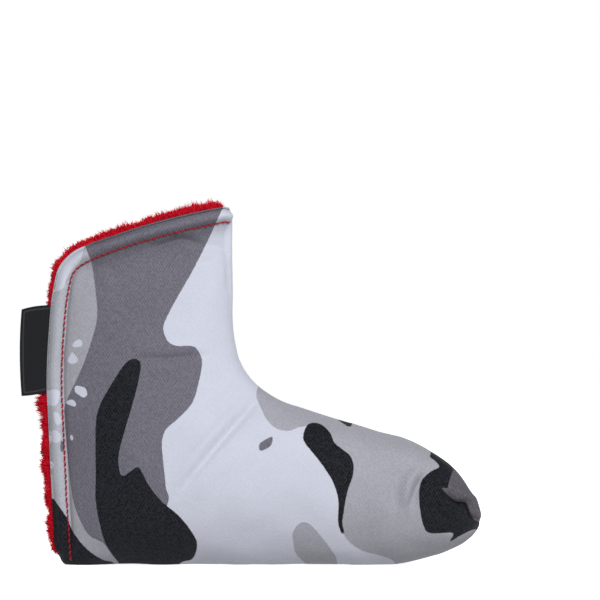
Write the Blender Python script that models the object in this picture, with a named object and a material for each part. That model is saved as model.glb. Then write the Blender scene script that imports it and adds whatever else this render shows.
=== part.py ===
"""Boot-shaped blade putter head cover, in metres, +Z up.

The cover stands on its sole with the toe at +X, the open back edge at -X and the two mirrored
halves on either side of the plane y = 0. Each half is a sandwich of printed outer cloth, foam
pad and plush lining. The halves are sewn together along the instep, the toe and the sole, and
stay open along the top and back edges, where a stiffened flap on each half folds outwards
about a line from the top front corner to the heel.
"""

import math

import bmesh
import bpy
import numpy as np
from mathutils import Matrix, Vector

MM = 0.001

# Stations of the loft, in millimetres: back or sole point x, z; front or instep point x, z; and
# half the thickness across Y before the toe is rounded. The first is the top edge.
STATIONS = [
    (-61.5, 126.8, -8.0, 141.0, 12.5),
    (-69.6, 122.8, -6.9, 134.5, 13.2),
    (-74.6, 117.4, -6.8, 127.0, 13.8),
    (-77.2, 108.0, -6.8, 118.0, 14.4),
    (-78.9, 92.0, -6.6, 106.0, 15.2),
    (-79.8, 73.0, -6.6, 95.0, 16.0),
    (-79.0, 53.0, -5.5, 86.5, 17.2),
    (-78.1, 33.0, -4.0, 80.5, 18.8),
    (-77.1, 16.0, -1.4, 75.6, 20.2),
    (-76.2, 6.2, 2.2, 71.3, 21.0),
    (-73.9, 1.2, 6.2, 68.0, 21.6),
    (-50.0, -1.3, 12.2, 64.4, 22.4),
    (-24.0, -1.3, 21.6, 61.2, 23.4),
    (4.0, -1.3, 33.5, 57.4, 24.0),
    (32.0, -1.2, 46.2, 53.6, 23.6),
    (53.0, -0.3, 58.0, 49.8, 22.6),
    (67.6, 2.5, 69.0, 44.4, 20.6),
    (78.2, 5.8, 78.4, 37.9, 17.8),
    (84.9, 9.5, 84.8, 30.4, 14.6),
    (88.9, 14.0, 88.7, 24.2, 11.6),
]
TOE_TIP = (90.3, 19.2, 9.6)  # x, z and half the thickness that the rounding brings to nothing
STATION_REACH = 14 * MM  # longest stretch of the loft between two sections
PROFILE_STEPS = 11  # facets from the back or sole edge to the instep edge
PROFILE_POWER = 2.5  # exponent of the superellipse across a closed section
TOE_ROUNDING = 24 * MM  # half height of a section under which the toe rounds over
TOP_ARCH = 1.1 * MM  # rise of the top edge above a straight line
ARCH_STATIONS = 2.0  # stations over which that rise fades out

OPEN_UNTIL = 9.0  # station where the open back edge starts to close
CLOSED_FROM = 10.0  # station from which the sole is sewn shut
CLOSING_SECTIONS = 3  # stretches of the loft while it closes
LIP = 7.3 * MM  # distance of the outer cloth from y = 0 along the open back edge
HALF_SEAM = 0.15 * MM  # each half stops this far short of y = 0

# Depth of each layer's outside and inside below the outer face of the cover.
OUTER_DEPTHS = (0.0, 0.7 * MM)
FOAM_DEPTHS = (1.05 * MM, 3.3 * MM)
LINING_DEPTHS = (3.75 * MM, 6.75 * MM)
HEM = 7.0 * MM  # the foam stops this far inside the open edges
HEM_FADES = (6.0, 8.0)  # stations over which the foam runs out to the sewn heel

# The fold line of the flaps, in the XZ plane.
FOLD_HEEL = Vector((-76.9 * MM, 0, 8.5 * MM))
FOLD_TOP = Vector((-13.0 * MM, 0, 140.0 * MM))
FOLD_GAP = 0.6 * MM
FOLD_DEPTH = 21.2 * MM  # the hinge axis lies outside the thickest part of the flap

STITCH_INSET = 6.0 * MM
STITCH_RADIUS = 0.35 * MM
STITCH_LIFT = 0.75 * MM  # thread centre above the outer cloth
STITCH_SPACING = 4.0 * MM
STITCH_TOP_STATION = 1.0  # station that the stitch follows along the top edge
STITCH_BACK_STATION = 1.45  # station from which it follows the back edge
STITCH_TURN = 9.6 * MM  # distance from the back edge at which it leaves the top edge

MAGNET_RADIUS = 6.0 * MM
MAGNET_THICKNESS = 1.5 * MM
MAGNET_CLEARANCE = 0.35 * MM
MAGNET_STATIONS = {"upper": 3.15, "lower": 4.75}
MAGNET_INSET = 17.0 * MM  # from the back edge
MAGNET_DEPTH = 2.35 * MM  # of its middle, below the outer face of the cover
MAGNET_SEGMENTS = 24

LABEL_THICKNESS = 1.2 * MM
LABEL_DEPTH = 1.05 * MM  # depth of the label's outer face below the outer cloth
LABEL_ALLOWANCE = 4.6 * MM  # sewn-in part
LABEL_STATIONS = (3.52, 5.22)
LABEL_CLEARANCE = 0.4 * MM  # between the sewn-in part and the edge of the outer cloth
LABEL_GAP = 0.8 * MM  # between the back edge and the free part
LABEL_TOP = 101.2 * MM
LABEL_BOTTOM = 67.0 * MM
LABEL_END = -90.3 * MM
LABEL_CORNER = 1.6 * MM
LABEL_BULGE = 0.9 * MM  # the free edge bows out this far past its corners
LABEL_STEPS = 8

STATION_NUDGE = 0.05  # steps by which slopes of the surface are measured
CHORD_NUDGE = 0.01
BISECTIONS = 40
WELD = 0.001 * MM
CUT_TOLERANCE = 0.0001 * MM
SHARP_ANGLE = math.radians(40)
AXIS_DISPLAY = 20 * MM

MATERIALS = {
    "outer_cloth": ((0.37, 0.37, 0.42, 1), 0.85, 0.0),
    "foam": ((0.55, 0.55, 0.53, 1), 0.95, 0.0),
    "plush": ((0.50, 0.012, 0.03, 1), 0.95, 0.0),
    "thread": ((0.45, 0.012, 0.03, 1), 0.6, 0.0),
    "magnet_steel": ((0.62, 0.62, 0.64, 1), 0.3, 1.0),
    "label_ribbon": ((0.018, 0.016, 0.019, 1), 0.7, 0.0),
}


def clear_scene():
    for obj in list(bpy.data.objects):
        bpy.data.objects.remove(obj, do_unlink=True)


def make_material(name):
    colour, roughness, metallic = MATERIALS[name]
    material = bpy.data.materials.new(name)
    material.use_nodes = True
    shader = material.node_tree.nodes["Principled BSDF"]
    shader.inputs["Base Color"].default_value = colour
    shader.inputs["Roughness"].default_value = roughness
    shader.inputs["Metallic"].default_value = metallic
    return material


class Outline:
    """The cover's side view: one smooth curve down the back, along the sole, round the toe and
    back up the instep. Parameter s counts stations; the front point of station s is at 2n - s."""

    def __init__(self):
        back = [(row[0], row[1]) for row in STATIONS]
        front = [(row[2], row[3]) for row in STATIONS]
        points = np.array(back + [TOE_TIP[:2]] + front[::-1]) * MM
        steps = np.diff(points, axis=0)
        lengths = np.linalg.norm(steps, axis=1)
        speeds = steps / lengths[:, None]
        tangents = np.empty_like(points)
        tangents[0], tangents[-1] = speeds[0], speeds[-1]
        before, after = lengths[:-1, None], lengths[1:, None]
        tangents[1:-1] = (speeds[:-1] * after + speeds[1:] * before) / (before + after)
        self.points, self.lengths, self.tangents = points, lengths, tangents
        self.last = len(points) - 1
        self.tip = len(STATIONS)

    def at(self, s):
        """Point and inward unit normal at s, as (x, z) pairs."""
        i = min(int(s), self.last - 1)
        u, long = s - i, self.lengths[i]
        p, q = self.points[i], self.points[i + 1]
        a, b = self.tangents[i] * long, self.tangents[i + 1] * long
        point = (
            (2 * u**3 - 3 * u**2 + 1) * p
            + (u**3 - 2 * u**2 + u) * a
            + (3 * u**2 - 2 * u**3) * q
            + (u**3 - u**2) * b
        )
        slope = (
            (6 * u**2 - 6 * u) * (p - q)
            + (3 * u**2 - 4 * u + 1) * a
            + (3 * u**2 - 2 * u) * b
        )
        slope /= np.linalg.norm(slope)
        return point, np.array((-slope[1], slope[0]))


OUTLINE = Outline()


def smoothstep(low, high, x):
    x = min(max((x - low) / (high - low), 0.0), 1.0)
    return x * x * (3 - 2 * x)


def half_thickness(t):
    values = [row[4] * MM for row in STATIONS] + [TOE_TIP[2] * MM]
    i = min(int(t), len(values) - 2)
    return values[i] + (values[i + 1] - values[i]) * (t - i)


def surface_point(t, c, depth):
    """A point of the near half: t along the loft, c across from the back or sole edge (0) to
    the instep edge (1), depth below the outer face."""
    openness = 1 - smoothstep(OPEN_UNTIL, CLOSED_FROM, t)
    back, back_in = OUTLINE.at(t)
    front, front_in = OUTLINE.at(OUTLINE.last - t)
    back = back + back_in * depth * (1 - openness)
    front = front + front_in * depth
    chord = front - back
    half_height = np.linalg.norm(chord) / 2
    short = 1 - min(half_height / TOE_ROUNDING, 1.0)
    rounding = math.sqrt(max(1 - short * short, 0.0))
    across = 1 - 2 * c
    closed = max(1 - abs(across) ** PROFILE_POWER, 0.0) ** (1 / PROFILE_POWER)
    full = half_thickness(t) - depth
    away = full * closed
    if across > 0:
        lip = LIP - depth
        held_open = lip + (full - lip) * (1 - across * across)
        away = openness * held_open + (1 - openness) * away
    x, z = back + chord * c
    z += TOP_ARCH * math.sin(math.pi * c) * (1 - smoothstep(0, ARCH_STATIONS, t))
    return Vector((x, -max(away * rounding, HALF_SEAM), max(z, depth)))


def across_of(step):
    """Chord fraction of a profile step, close together where the section turns over."""
    turn = math.cos(math.pi * step / PROFILE_STEPS)
    return (1 - math.copysign(abs(turn) ** (2 / PROFILE_POWER), turn)) / 2


def sections():
    """The stations of the loft, with more between them on the longer stretches."""
    found = []
    for i in range(OUTLINE.tip):
        longest = max(OUTLINE.lengths[i], OUTLINE.lengths[OUTLINE.last - 1 - i])
        count = math.ceil(longest / STATION_REACH)
        if OPEN_UNTIL <= i < CLOSED_FROM:
            count = max(count, CLOSING_SECTIONS)
        found += [i + k / count for k in range(count)]
    return found + [float(OUTLINE.tip)]


def mesh_between(name, stations, depths, hem=0.0):
    """A closed mesh of the near half between two depths, over these stations."""
    mesh = bmesh.new()
    grids = []
    for depth in depths:
        rows = []
        for t in stations:
            back, _ = OUTLINE.at(t)
            front, _ = OUTLINE.at(OUTLINE.last - t)
            width = max(np.linalg.norm(front - back), MM)
            held_back = hem / width * (1 - smoothstep(*HEM_FADES, t))
            row = []
            for step in range(PROFILE_STEPS + 1):
                c = across_of(step)
                row.append(mesh.verts.new(surface_point(t, c + held_back * (1 - c) ** 4, depth)))
            rows.append(row)
        grids.append(rows)
    outside, inside = grids
    for i in range(len(stations) - 1):
        for j in range(PROFILE_STEPS):
            mesh.faces.new((outside[i][j], outside[i][j + 1], outside[i + 1][j + 1], outside[i + 1][j]))
            mesh.faces.new((inside[i][j], inside[i + 1][j], inside[i + 1][j + 1], inside[i][j + 1]))
    for j in range(PROFILE_STEPS):
        mesh.faces.new((outside[0][j + 1], outside[0][j], inside[0][j], inside[0][j + 1]))
        mesh.faces.new((outside[-1][j], outside[-1][j + 1], inside[-1][j + 1], inside[-1][j]))
    for i in range(len(stations) - 1):
        mesh.faces.new((outside[i][0], outside[i + 1][0], inside[i + 1][0], inside[i][0]))
        mesh.faces.new((outside[i + 1][-1], outside[i][-1], inside[i][-1], inside[i + 1][-1]))
    bmesh.ops.remove_doubles(mesh, verts=mesh.verts, dist=WELD)
    bmesh.ops.recalc_face_normals(mesh, faces=mesh.faces)
    data = bpy.data.meshes.new(name)
    mesh.to_mesh(data)
    mesh.free()
    return data


def fold_frame():
    """Direction of the fold line, and the direction across it towards the flap."""
    along = (FOLD_TOP - FOLD_HEEL).normalized()
    return along, Vector((-along.z, 0, along.x))


def cut_at_fold(data, name, keep_flap):
    """One side of a layer, cut square through at the fold line."""
    _, to_flap = fold_frame()
    side = 1 if keep_flap else -1
    mesh = bmesh.new()
    mesh.from_mesh(data)
    cut = bmesh.ops.bisect_plane(
        mesh,
        geom=mesh.verts[:] + mesh.edges[:] + mesh.faces[:],
        dist=CUT_TOLERANCE,
        plane_co=FOLD_HEEL + to_flap * side * FOLD_GAP / 2,
        plane_no=to_flap * side,
        clear_inner=True,
    )
    rim = [e for e in cut["geom_cut"] if isinstance(e, bmesh.types.BMEdge)]
    bmesh.ops.edgeloop_fill(mesh, edges=rim)
    bmesh.ops.triangulate(mesh, faces=mesh.faces)
    bmesh.ops.recalc_face_normals(mesh, faces=mesh.faces)
    part = bpy.data.meshes.new(name)
    mesh.to_mesh(part)
    mesh.free()
    return part


def mirrored(data, name):
    mesh = bmesh.new()
    mesh.from_mesh(data)
    bmesh.ops.scale(mesh, vec=(1, -1, 1), verts=mesh.verts)
    bmesh.ops.reverse_faces(mesh, faces=mesh.faces)
    other = bpy.data.meshes.new(name)
    mesh.to_mesh(other)
    mesh.free()
    return other


def add_object(name, data, material, parent=None):
    obj = bpy.data.objects.new(name, data)
    bpy.context.scene.collection.objects.link(obj)
    data.materials.append(material)
    if parent is not None:
        obj.parent = parent
        obj.matrix_parent_inverse = parent.matrix_world.inverted()
    return obj


def shade(obj):
    obj.data.shade_smooth()
    obj.data.set_sharp_from_angle(angle=SHARP_ANGLE)


def add_axis(name, point, along):
    """An empty on a joint's axis, with its Z along the axis, for the moving pieces to follow."""
    empty = bpy.data.objects.new(name, None)
    empty.empty_display_size = AXIS_DISPLAY
    turn = Vector((0, 0, 1)).rotation_difference(along)
    empty.matrix_world = Matrix.Translation(point) @ turn.to_matrix().to_4x4()
    bpy.context.scene.collection.objects.link(empty)
    bpy.context.view_layer.update()
    return empty


def surface_frame(t, c, depth):
    """Point of the near half, and a rotation whose Z points out of the cover there."""
    point = surface_point(t, c, depth)
    along = surface_point(t + STATION_NUDGE, c, depth) - surface_point(t - STATION_NUDGE, c, depth)
    across = surface_point(t, c + CHORD_NUDGE, depth) - surface_point(t, c - CHORD_NUDGE, depth)
    out = along.cross(across).normalized()
    if out.y > 0:
        out = -out
    return point, Vector((0, 0, 1)).rotation_difference(out).to_matrix().to_4x4()


def cylinder(name, radius, depth):
    mesh = bmesh.new()
    bmesh.ops.create_cone(
        mesh, cap_ends=True, segments=MAGNET_SEGMENTS, radius1=radius, radius2=radius, depth=depth
    )
    data = bpy.data.meshes.new(name)
    mesh.to_mesh(data)
    mesh.free()
    return data


def add_magnets(side, sign, foam, material, parent):
    """Two disc magnets along the back edge, each in a round hole of the foam flap."""
    for place, t in MAGNET_STATIONS.items():
        back, _ = OUTLINE.at(t)
        front, _ = OUTLINE.at(OUTLINE.last - t)
        c = MAGNET_INSET / np.linalg.norm(front - back)
        point, turn = surface_frame(t, c, MAGNET_DEPTH)
        where = Matrix.Diagonal((1, sign, 1, 1)) @ Matrix.Translation(point) @ turn
        disc = cylinder(f"{side}_magnet_{place}", MAGNET_RADIUS, MAGNET_THICKNESS)
        hole = cylinder(
            f"{side}_magnet_{place}_hole",
            MAGNET_RADIUS + MAGNET_CLEARANCE,
            2 * (FOAM_DEPTHS[1] - FOAM_DEPTHS[0]),
        )
        for shape in (disc, hole):
            shape.transform(where)
            if sign < 0:
                shape.flip_normals()
        shade(add_object(f"{side}_magnet_{place}", disc, material, parent))
        cutter = add_object(f"{side}_magnet_{place}_hole", hole, material, parent)
        cutter.hide_render = True
        cutter.display_type = "WIRE"
        recess = foam.modifiers.new(f"{place} magnet hole", "BOOLEAN")
        recess.operation = "DIFFERENCE"
        recess.object = cutter


def stitch_route():
    """Points of the topstitch on the flap, along the top edge and down the back edge."""
    _, to_flap = fold_frame()
    points = []
    front, _ = OUTLINE.at(OUTLINE.last - STITCH_TOP_STATION)
    back, _ = OUTLINE.at(STITCH_TOP_STATION)
    width = np.linalg.norm(front - back)
    steps = int(width / STITCH_SPACING)
    for k in range(steps, 0, -1):
        c = k / steps
        if c * width > STITCH_TURN:
            points.append(stitch_point(STITCH_TOP_STATION, c))
    t = STITCH_BACK_STATION
    while t < CLOSED_FROM:
        back, _ = OUTLINE.at(t)
        front, _ = OUTLINE.at(OUTLINE.last - t)
        points.append(stitch_point(t, STITCH_INSET / np.linalg.norm(front - back)))
        t += STITCH_SPACING / OUTLINE.lengths[min(int(t), OUTLINE.last - 1)]
    margin = FOLD_GAP + 2 * STITCH_RADIUS
    return [p for p in points if (p - FOLD_HEEL).dot(to_flap) > margin]


def stitch_point(t, c):
    point, turn = surface_frame(t, c, 0.0)
    return point + turn.to_3x3() @ Vector((0, 0, STITCH_LIFT))


def add_topstitch(side, sign, material, parent):
    route = stitch_route()
    curve = bpy.data.curves.new(f"{side}_topstitch", "CURVE")
    curve.dimensions = "3D"
    curve.bevel_depth = STITCH_RADIUS
    curve.bevel_resolution = 1
    curve.use_fill_caps = True
    line = curve.splines.new("POLY")
    line.points.add(len(route) - 1)
    for point, place in zip(line.points, route):
        point.co = (place.x, sign * place.y, place.z, 1)
    add_object(f"{side}_topstitch", curve, material, parent)


def add_half(side, sign, materials, parent):
    """The near half (sign 1) or its mirror image (sign -1): its fixed pieces, and its flap's
    pieces, which follow the parent empty."""
    stations = sections()
    layers = {
        "outer": (OUTER_DEPTHS, stations, 0.0, "outer_cloth", ("panel", "flap")),
        "foam": (FOAM_DEPTHS, [t for t in stations if t >= 1], HEM, "foam", ("pad", "flap")),
        "plush": (LINING_DEPTHS, stations, 0.0, "plush", ("lining", "flap")),
    }
    for layer, (depths, chosen, hem, slot, endings) in layers.items():
        whole = mesh_between(f"{side}_{layer}_whole", chosen, depths, hem)
        for ending, is_flap in zip(endings, (False, True)):
            name = f"{side}_{layer}_{ending}"
            piece = cut_at_fold(whole, name, is_flap)
            if sign < 0:
                piece = mirrored(piece, name)
            obj = add_object(name, piece, materials[slot], parent if is_flap else None)
            shade(obj)
            if is_flap and layer == "foam":
                add_magnets(side, sign, obj, materials["magnet_steel"], parent)
        bpy.data.meshes.remove(whole)
    add_topstitch(side, sign, materials["thread"], parent)


def add_label_allowance(material, parent):
    """The sewn-in strip of the label, between the outer cloth and the lining."""
    mesh = bmesh.new()
    low, high = LABEL_STATIONS
    grids = []
    for depth in (LABEL_DEPTH, LABEL_DEPTH + LABEL_THICKNESS):
        rows = []
        for k in range(LABEL_STEPS + 1):
            t = low + (high - low) * k / LABEL_STEPS
            back, _ = OUTLINE.at(t)
            front, _ = OUTLINE.at(OUTLINE.last - t)
            width = np.linalg.norm(front - back)
            ends = (LABEL_CLEARANCE / width, LABEL_ALLOWANCE / width)
            rows.append([mesh.verts.new(surface_point(t, c, depth)) for c in ends])
        grids.append(rows)
    for k in range(LABEL_STEPS):
        ring = [grids[0][k][0], grids[0][k][1], grids[1][k][1], grids[1][k][0]]
        after = [grids[0][k + 1][0], grids[0][k + 1][1], grids[1][k + 1][1], grids[1][k + 1][0]]
        for a in range(4):
            b = (a + 1) % 4
            mesh.faces.new((ring[a], ring[b], after[b], after[a]))
    for k in (0, LABEL_STEPS):
        mesh.faces.new((grids[0][k][0], grids[0][k][1], grids[1][k][1], grids[1][k][0]))
    bmesh.ops.recalc_face_normals(mesh, faces=mesh.faces)
    data = bpy.data.meshes.new("label_seam_allowance")
    mesh.to_mesh(data)
    mesh.free()
    add_object("label_seam_allowance", data, material, parent)


def back_edge_at(z):
    """x of the open back edge at this height, by bisection along the outline."""
    low, high = LABEL_STATIONS[0] - 1, LABEL_STATIONS[1] + 1
    for _ in range(BISECTIONS):
        middle = (low + high) / 2
        if OUTLINE.at(middle)[0][1] > z:
            low = middle
        else:
            high = middle
    return OUTLINE.at(low)[0][0]


def label_axis():
    """Lower and upper end of the label's hinge line, just behind the back edge."""
    away = -(LIP - LABEL_DEPTH - LABEL_THICKNESS / 2)
    return [
        Vector((back_edge_at(z) - LABEL_GAP, away, z)) for z in (LABEL_BOTTOM, LABEL_TOP)
    ]


def add_label_tab(material, parent):
    """The free part of the folded ribbon label, a thin plate with a slightly bowed free edge."""
    low, high = label_axis()
    outline = []
    for k in range(LABEL_STEPS + 1):
        u = k / LABEL_STEPS
        z = LABEL_BOTTOM + LABEL_CORNER + (LABEL_TOP - LABEL_BOTTOM - 2 * LABEL_CORNER) * u
        outline.append((LABEL_END + LABEL_BULGE * (1 - math.sin(math.pi * u)), z))
    outline += [
        (LABEL_END + LABEL_BULGE + LABEL_CORNER, LABEL_TOP),
        (high.x, LABEL_TOP),
        (low.x, LABEL_BOTTOM),
        (LABEL_END + LABEL_BULGE + LABEL_CORNER, LABEL_BOTTOM),
    ]
    mesh = bmesh.new()
    face = mesh.faces.new([mesh.verts.new((x, low.y - LABEL_THICKNESS / 2, z)) for x, z in outline])
    made = bmesh.ops.extrude_face_region(mesh, geom=[face])
    lifted = [v for v in made["geom"] if isinstance(v, bmesh.types.BMVert)]
    bmesh.ops.translate(mesh, vec=(0, LABEL_THICKNESS, 0), verts=lifted)
    bmesh.ops.recalc_face_normals(mesh, faces=mesh.faces)
    data = bpy.data.meshes.new("label_tab")
    mesh.to_mesh(data)
    mesh.free()
    add_object("label_tab", data, material, parent)


def build():
    clear_scene()
    materials = {name: make_material(name) for name in MATERIALS}
    along, _ = fold_frame()
    middle = (FOLD_HEEL + FOLD_TOP) / 2
    axes = {}
    for side, sign in (("near", 1), ("far", -1)):
        point = Vector((middle.x, -sign * FOLD_DEPTH, middle.z))
        axes[side] = add_axis(f"{side}_flap_axis", point, along * sign)
        add_half(side, sign, materials, axes[side])
    add_label_allowance(materials["label_ribbon"], axes["near"])
    low, high = label_axis()
    hinge = add_axis("label_axis", (low + high) / 2, (high - low).normalized())
    hinge.parent = axes["near"]
    hinge.matrix_parent_inverse = axes["near"].matrix_world.inverted()
    bpy.context.view_layer.update()
    add_label_tab(materials["label_ribbon"], hinge)


build()
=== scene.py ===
import math

import bpy
import numpy as np
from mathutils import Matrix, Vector
from mathutils.bvhtree import BVHTree


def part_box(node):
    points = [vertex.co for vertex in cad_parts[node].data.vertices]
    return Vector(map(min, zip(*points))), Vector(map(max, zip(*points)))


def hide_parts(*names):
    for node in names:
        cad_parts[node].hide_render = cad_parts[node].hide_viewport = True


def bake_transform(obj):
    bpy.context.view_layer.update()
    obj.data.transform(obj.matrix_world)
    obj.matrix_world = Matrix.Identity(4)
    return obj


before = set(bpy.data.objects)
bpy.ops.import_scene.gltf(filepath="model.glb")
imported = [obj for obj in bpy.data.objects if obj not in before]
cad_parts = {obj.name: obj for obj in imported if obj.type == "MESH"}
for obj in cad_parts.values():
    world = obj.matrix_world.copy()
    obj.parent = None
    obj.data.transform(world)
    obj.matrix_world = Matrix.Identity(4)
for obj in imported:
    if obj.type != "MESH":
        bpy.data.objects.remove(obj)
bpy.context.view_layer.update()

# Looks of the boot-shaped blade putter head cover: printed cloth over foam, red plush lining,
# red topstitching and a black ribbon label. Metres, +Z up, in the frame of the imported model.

MM = 0.001
rng = np.random.default_rng(7)

# ---------------------------------------------------------------------------------------------
# The cover's form. Stations of the loft in millimetres: back or sole point x, z; front or
# instep point x, z; half the thickness across Y. The first is the top edge, the last the toe.
STATIONS = np.array([
    (-61.5, 126.8, -8, 141, 12.5),
    (-69.6, 122.8, -6.9, 134.5, 13.2),
    (-74.6, 117.4, -6.8, 127, 13.8),
    (-77.2, 108, -6.8, 118, 14.4),
    (-78.9, 92, -6.6, 106, 15.2),
    (-79.8, 73, -6.6, 95, 16),
    (-79, 53, -5.5, 86.5, 17.2),
    (-78.1, 33, -4, 80.5, 18.8),
    (-77.1, 16, -1.4, 75.6, 20.2),
    (-76.2, 6.2, 2.2, 71.3, 21),
    (-73.9, 1.2, 6.2, 68, 21.6),
    (-50, -1.3, 12.2, 64.4, 22.4),
    (-24, -1.3, 21.6, 61.2, 23.4),
    (4, -1.3, 33.5, 57.4, 24),
    (32, -1.2, 46.2, 53.6, 23.6),
    (53, -0.3, 58, 49.8, 22.6),
    (67.6, 2.5, 69, 44.4, 20.6),
    (78.2, 5.8, 78.4, 37.9, 17.8),
    (84.9, 9.5, 84.8, 30.4, 14.6),
    (88.9, 14, 88.7, 24.2, 11.6),
]) * MM
TOE_TIP = np.array((90.3, 19.2, 9.6)) * MM
PROFILE_POWER = 2.5
SOLE_POWER = 1.8  # the lower half of the foot slopes in more towards its sole
WIDEST = 0.54  # share of the foot's height at which it is widest
FOOT_FROM, FOOT_FULLY = 10, 13  # stations over which the shaft's section becomes the foot's
TOE_ROUNDING = 24 * MM
TOP_ARCH = 1.1 * MM
TOP_CORNER = 0.7 * MM  # how far the top front corner is rounded off
OPEN_UNTIL, CLOSED_FROM = 9.0, 10.0  # stations over which the open back edge closes
LIP = 7.3 * MM
LAST = 2 * len(STATIONS)  # the outline's last parameter; the toe tip is at half of it
TIP = len(STATIONS)

# Depths of the layers below the outer face.
HEM_THICKNESS = 1.5 * MM
FOAM_OUTSIDE = 2.75 * MM  # where the cloth's waves have pressed the foam in
FOAM_NEAR_RIM = 0.65 * MM  # more that it is pressed in towards the open edges
FOAM_INSIDE = 4.0 * MM
FOAM_TOP = 1.9  # station at which the foam begins, below the top edge's valley
FOAM_HELD_BACK = 13 * MM  # from the back edge, clear of the topstitch's valley
LINING_OUTSIDE = 4.6 * MM
LINING_RIM = 2.3 * MM  # the lining's outside lies this shallow at the open edges
LINING_INSIDE = 5.9 * MM
STITCH_INSET = 6.0 * MM


def smoothstep(low, high, x):
    x = np.clip((x - low) / (high - low), 0, 1)
    return x * x * (3 - 2 * x)


def bell(x, width):
    """1 where x is 0, falling to 0 on both sides."""
    return np.exp(-((x / width) ** 2))


def unit(vectors):
    """Vectors of length 1, or of length 0 where there was no length."""
    return vectors / np.maximum(np.linalg.norm(vectors, axis=-1, keepdims=True), 1e-12)


def run_along(points):
    """How far along a polyline each of its points is."""
    steps = np.linalg.norm(np.diff(points, axis=0), axis=1)
    return np.concatenate([[0], np.cumsum(steps)])


def sample(at, run, rows):
    """Rows of numbers that belong to places along a run, interpolated at other places."""
    return np.stack([np.interp(at, run, column) for column in rows.T], -1)


def resampled(values, count):
    """A row of values brought to another count, evenly."""
    return np.interp(np.linspace(0, len(values) - 1, count), np.arange(len(values)), values)


def hermite(u, start, start_slope, end, end_slope):
    """A cubic between two values with given slopes there, at u from 0 to 1."""
    return (
        (2 * u**3 - 3 * u**2 + 1) * start
        + (u**3 - 2 * u**2 + u) * start_slope
        + (3 * u**2 - 2 * u**3) * end
        + (u**3 - u**2) * end_slope
    )


def tangents_of(points):
    lengths = np.linalg.norm(np.diff(points, axis=0), axis=1)
    speeds = np.diff(points, axis=0) / lengths[:, None]
    found = np.empty_like(points)
    found[0], found[-1] = speeds[0], speeds[-1]
    before, after = lengths[:-1, None], lengths[1:, None]
    found[1:-1] = (speeds[:-1] * after + speeds[1:] * before) / (before + after)
    return found, lengths


RIM_POINTS = np.vstack([STATIONS[:, :2], TOE_TIP[None, :2], STATIONS[::-1, 2:4]])
RIM_TANGENTS, RIM_LENGTHS = tangents_of(RIM_POINTS)
THICKNESS = np.append(STATIONS[:, 4], TOE_TIP[2])


def outline(s):
    """Points and inward unit normals of the side view's outline at parameters s."""
    i = np.clip(s.astype(int), 0, LAST - 1)
    u, long = (s - i)[:, None], RIM_LENGTHS[i][:, None]
    p, q = RIM_POINTS[i], RIM_POINTS[i + 1]
    a, b = RIM_TANGENTS[i] * long, RIM_TANGENTS[i + 1] * long
    slope = unit(
        (6 * u**2 - 6 * u) * (p - q)
        + (3 * u**2 - 4 * u + 1) * a
        + (3 * u**2 - 2 * u) * b
    )
    return hermite(u, p, a, q, b), np.stack([-slope[:, 1], slope[:, 0]], axis=1)


def openness(t):
    return 1 - smoothstep(OPEN_UNTIL, CLOSED_FROM, t)


def thickness_at(t):
    i = np.clip(t.astype(int), 0, TIP - 1)
    before, after = THICKNESS[np.clip(i - 1, 0, TIP)], THICKNESS[np.clip(i + 2, 0, TIP)]
    p, q = THICKNESS[i], THICKNESS[i + 1]
    return hermite(t - i, p, (q - before) / 2, q, (after - p) / 2)


def loft(t, c, depth=0.0):
    """Points of the near half: t along the loft, c from the back or sole edge (0) to the
    instep (1), depth below the outer face. The arguments are arrays of one shape."""
    t, c, depth = np.broadcast_arrays(t, c, depth)
    shape = t.shape
    t, c, depth = (a.astype(float).ravel() for a in (t, c, depth))
    openly = openness(t)
    back, back_in = outline(t)
    front, front_in = outline(LAST - t)
    back = back + back_in * (depth * (1 - openly))[:, None]
    front = front + front_in * depth[:, None]
    chord = front - back
    short = 1 - np.minimum(np.linalg.norm(chord, axis=1) / 2 / TOE_ROUNDING, 1)
    rounding = np.sqrt(np.maximum(1 - short * short, 0))
    widest = 0.5 + (WIDEST - 0.5) * smoothstep(FOOT_FROM, FOOT_FULLY, t)
    across = np.where(c < widest, (widest - c) / widest, (widest - c) / (1 - widest))
    full = thickness_at(t) - depth
    power = np.where(across > 0, SOLE_POWER, PROFILE_POWER)
    closed = full * np.maximum(1 - np.abs(across) ** power, 0) ** (1 / power)
    lip = LIP - depth
    held_open = lip + (full - lip) * (1 - across * across)
    away = np.where(across > 0, openly * held_open + (1 - openly) * closed, closed)
    xz = back + chord * c[:, None]
    z = xz[:, 1] + TOP_ARCH * np.sin(math.pi * np.clip(c, 0, 1)) * (1 - smoothstep(0, 2, t))
    z = z - TOP_CORNER * smoothstep(0.95, 1.0, c) ** 2 * (1 - smoothstep(0, 0.35, t))
    points = np.stack([xz[:, 0], -away * rounding, np.maximum(z, depth + 0.05 * MM)], axis=1)
    return points.reshape(shape + (3,))


# ---------------------------------------------------------------------------------------------
# Meshes from arrays.


def grid_faces(rows, columns, offset=0):
    k = np.arange(rows * columns).reshape(rows, columns) + offset
    return np.stack([k[:-1, :-1], k[1:, :-1], k[1:, 1:], k[:-1, 1:]], axis=-1).reshape(-1, 4)


def layer_faces(rows, columns):
    """Faces of a closed layer: one grid, a second one behind it, and the walls between."""
    size = rows * columns
    k = np.arange(size).reshape(rows, columns)
    border = np.concatenate([k[0, :-1], k[:-1, -1], k[-1, :0:-1], k[:0:-1, 0]])
    after = np.roll(border, -1)
    walls = np.stack([border, after, after + size, border + size], 1)
    return np.vstack([grid_faces(rows, columns), grid_faces(rows, columns, size)[:, ::-1], walls])


def set_attribute(mesh, name, values):
    values = np.asarray(values, np.float32)
    kind, field = ("FLOAT_VECTOR", "vector") if values.ndim == 2 else ("FLOAT", "value")
    mesh.attributes.new(name, kind, "POINT").data.foreach_set(field, values.ravel())


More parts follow.
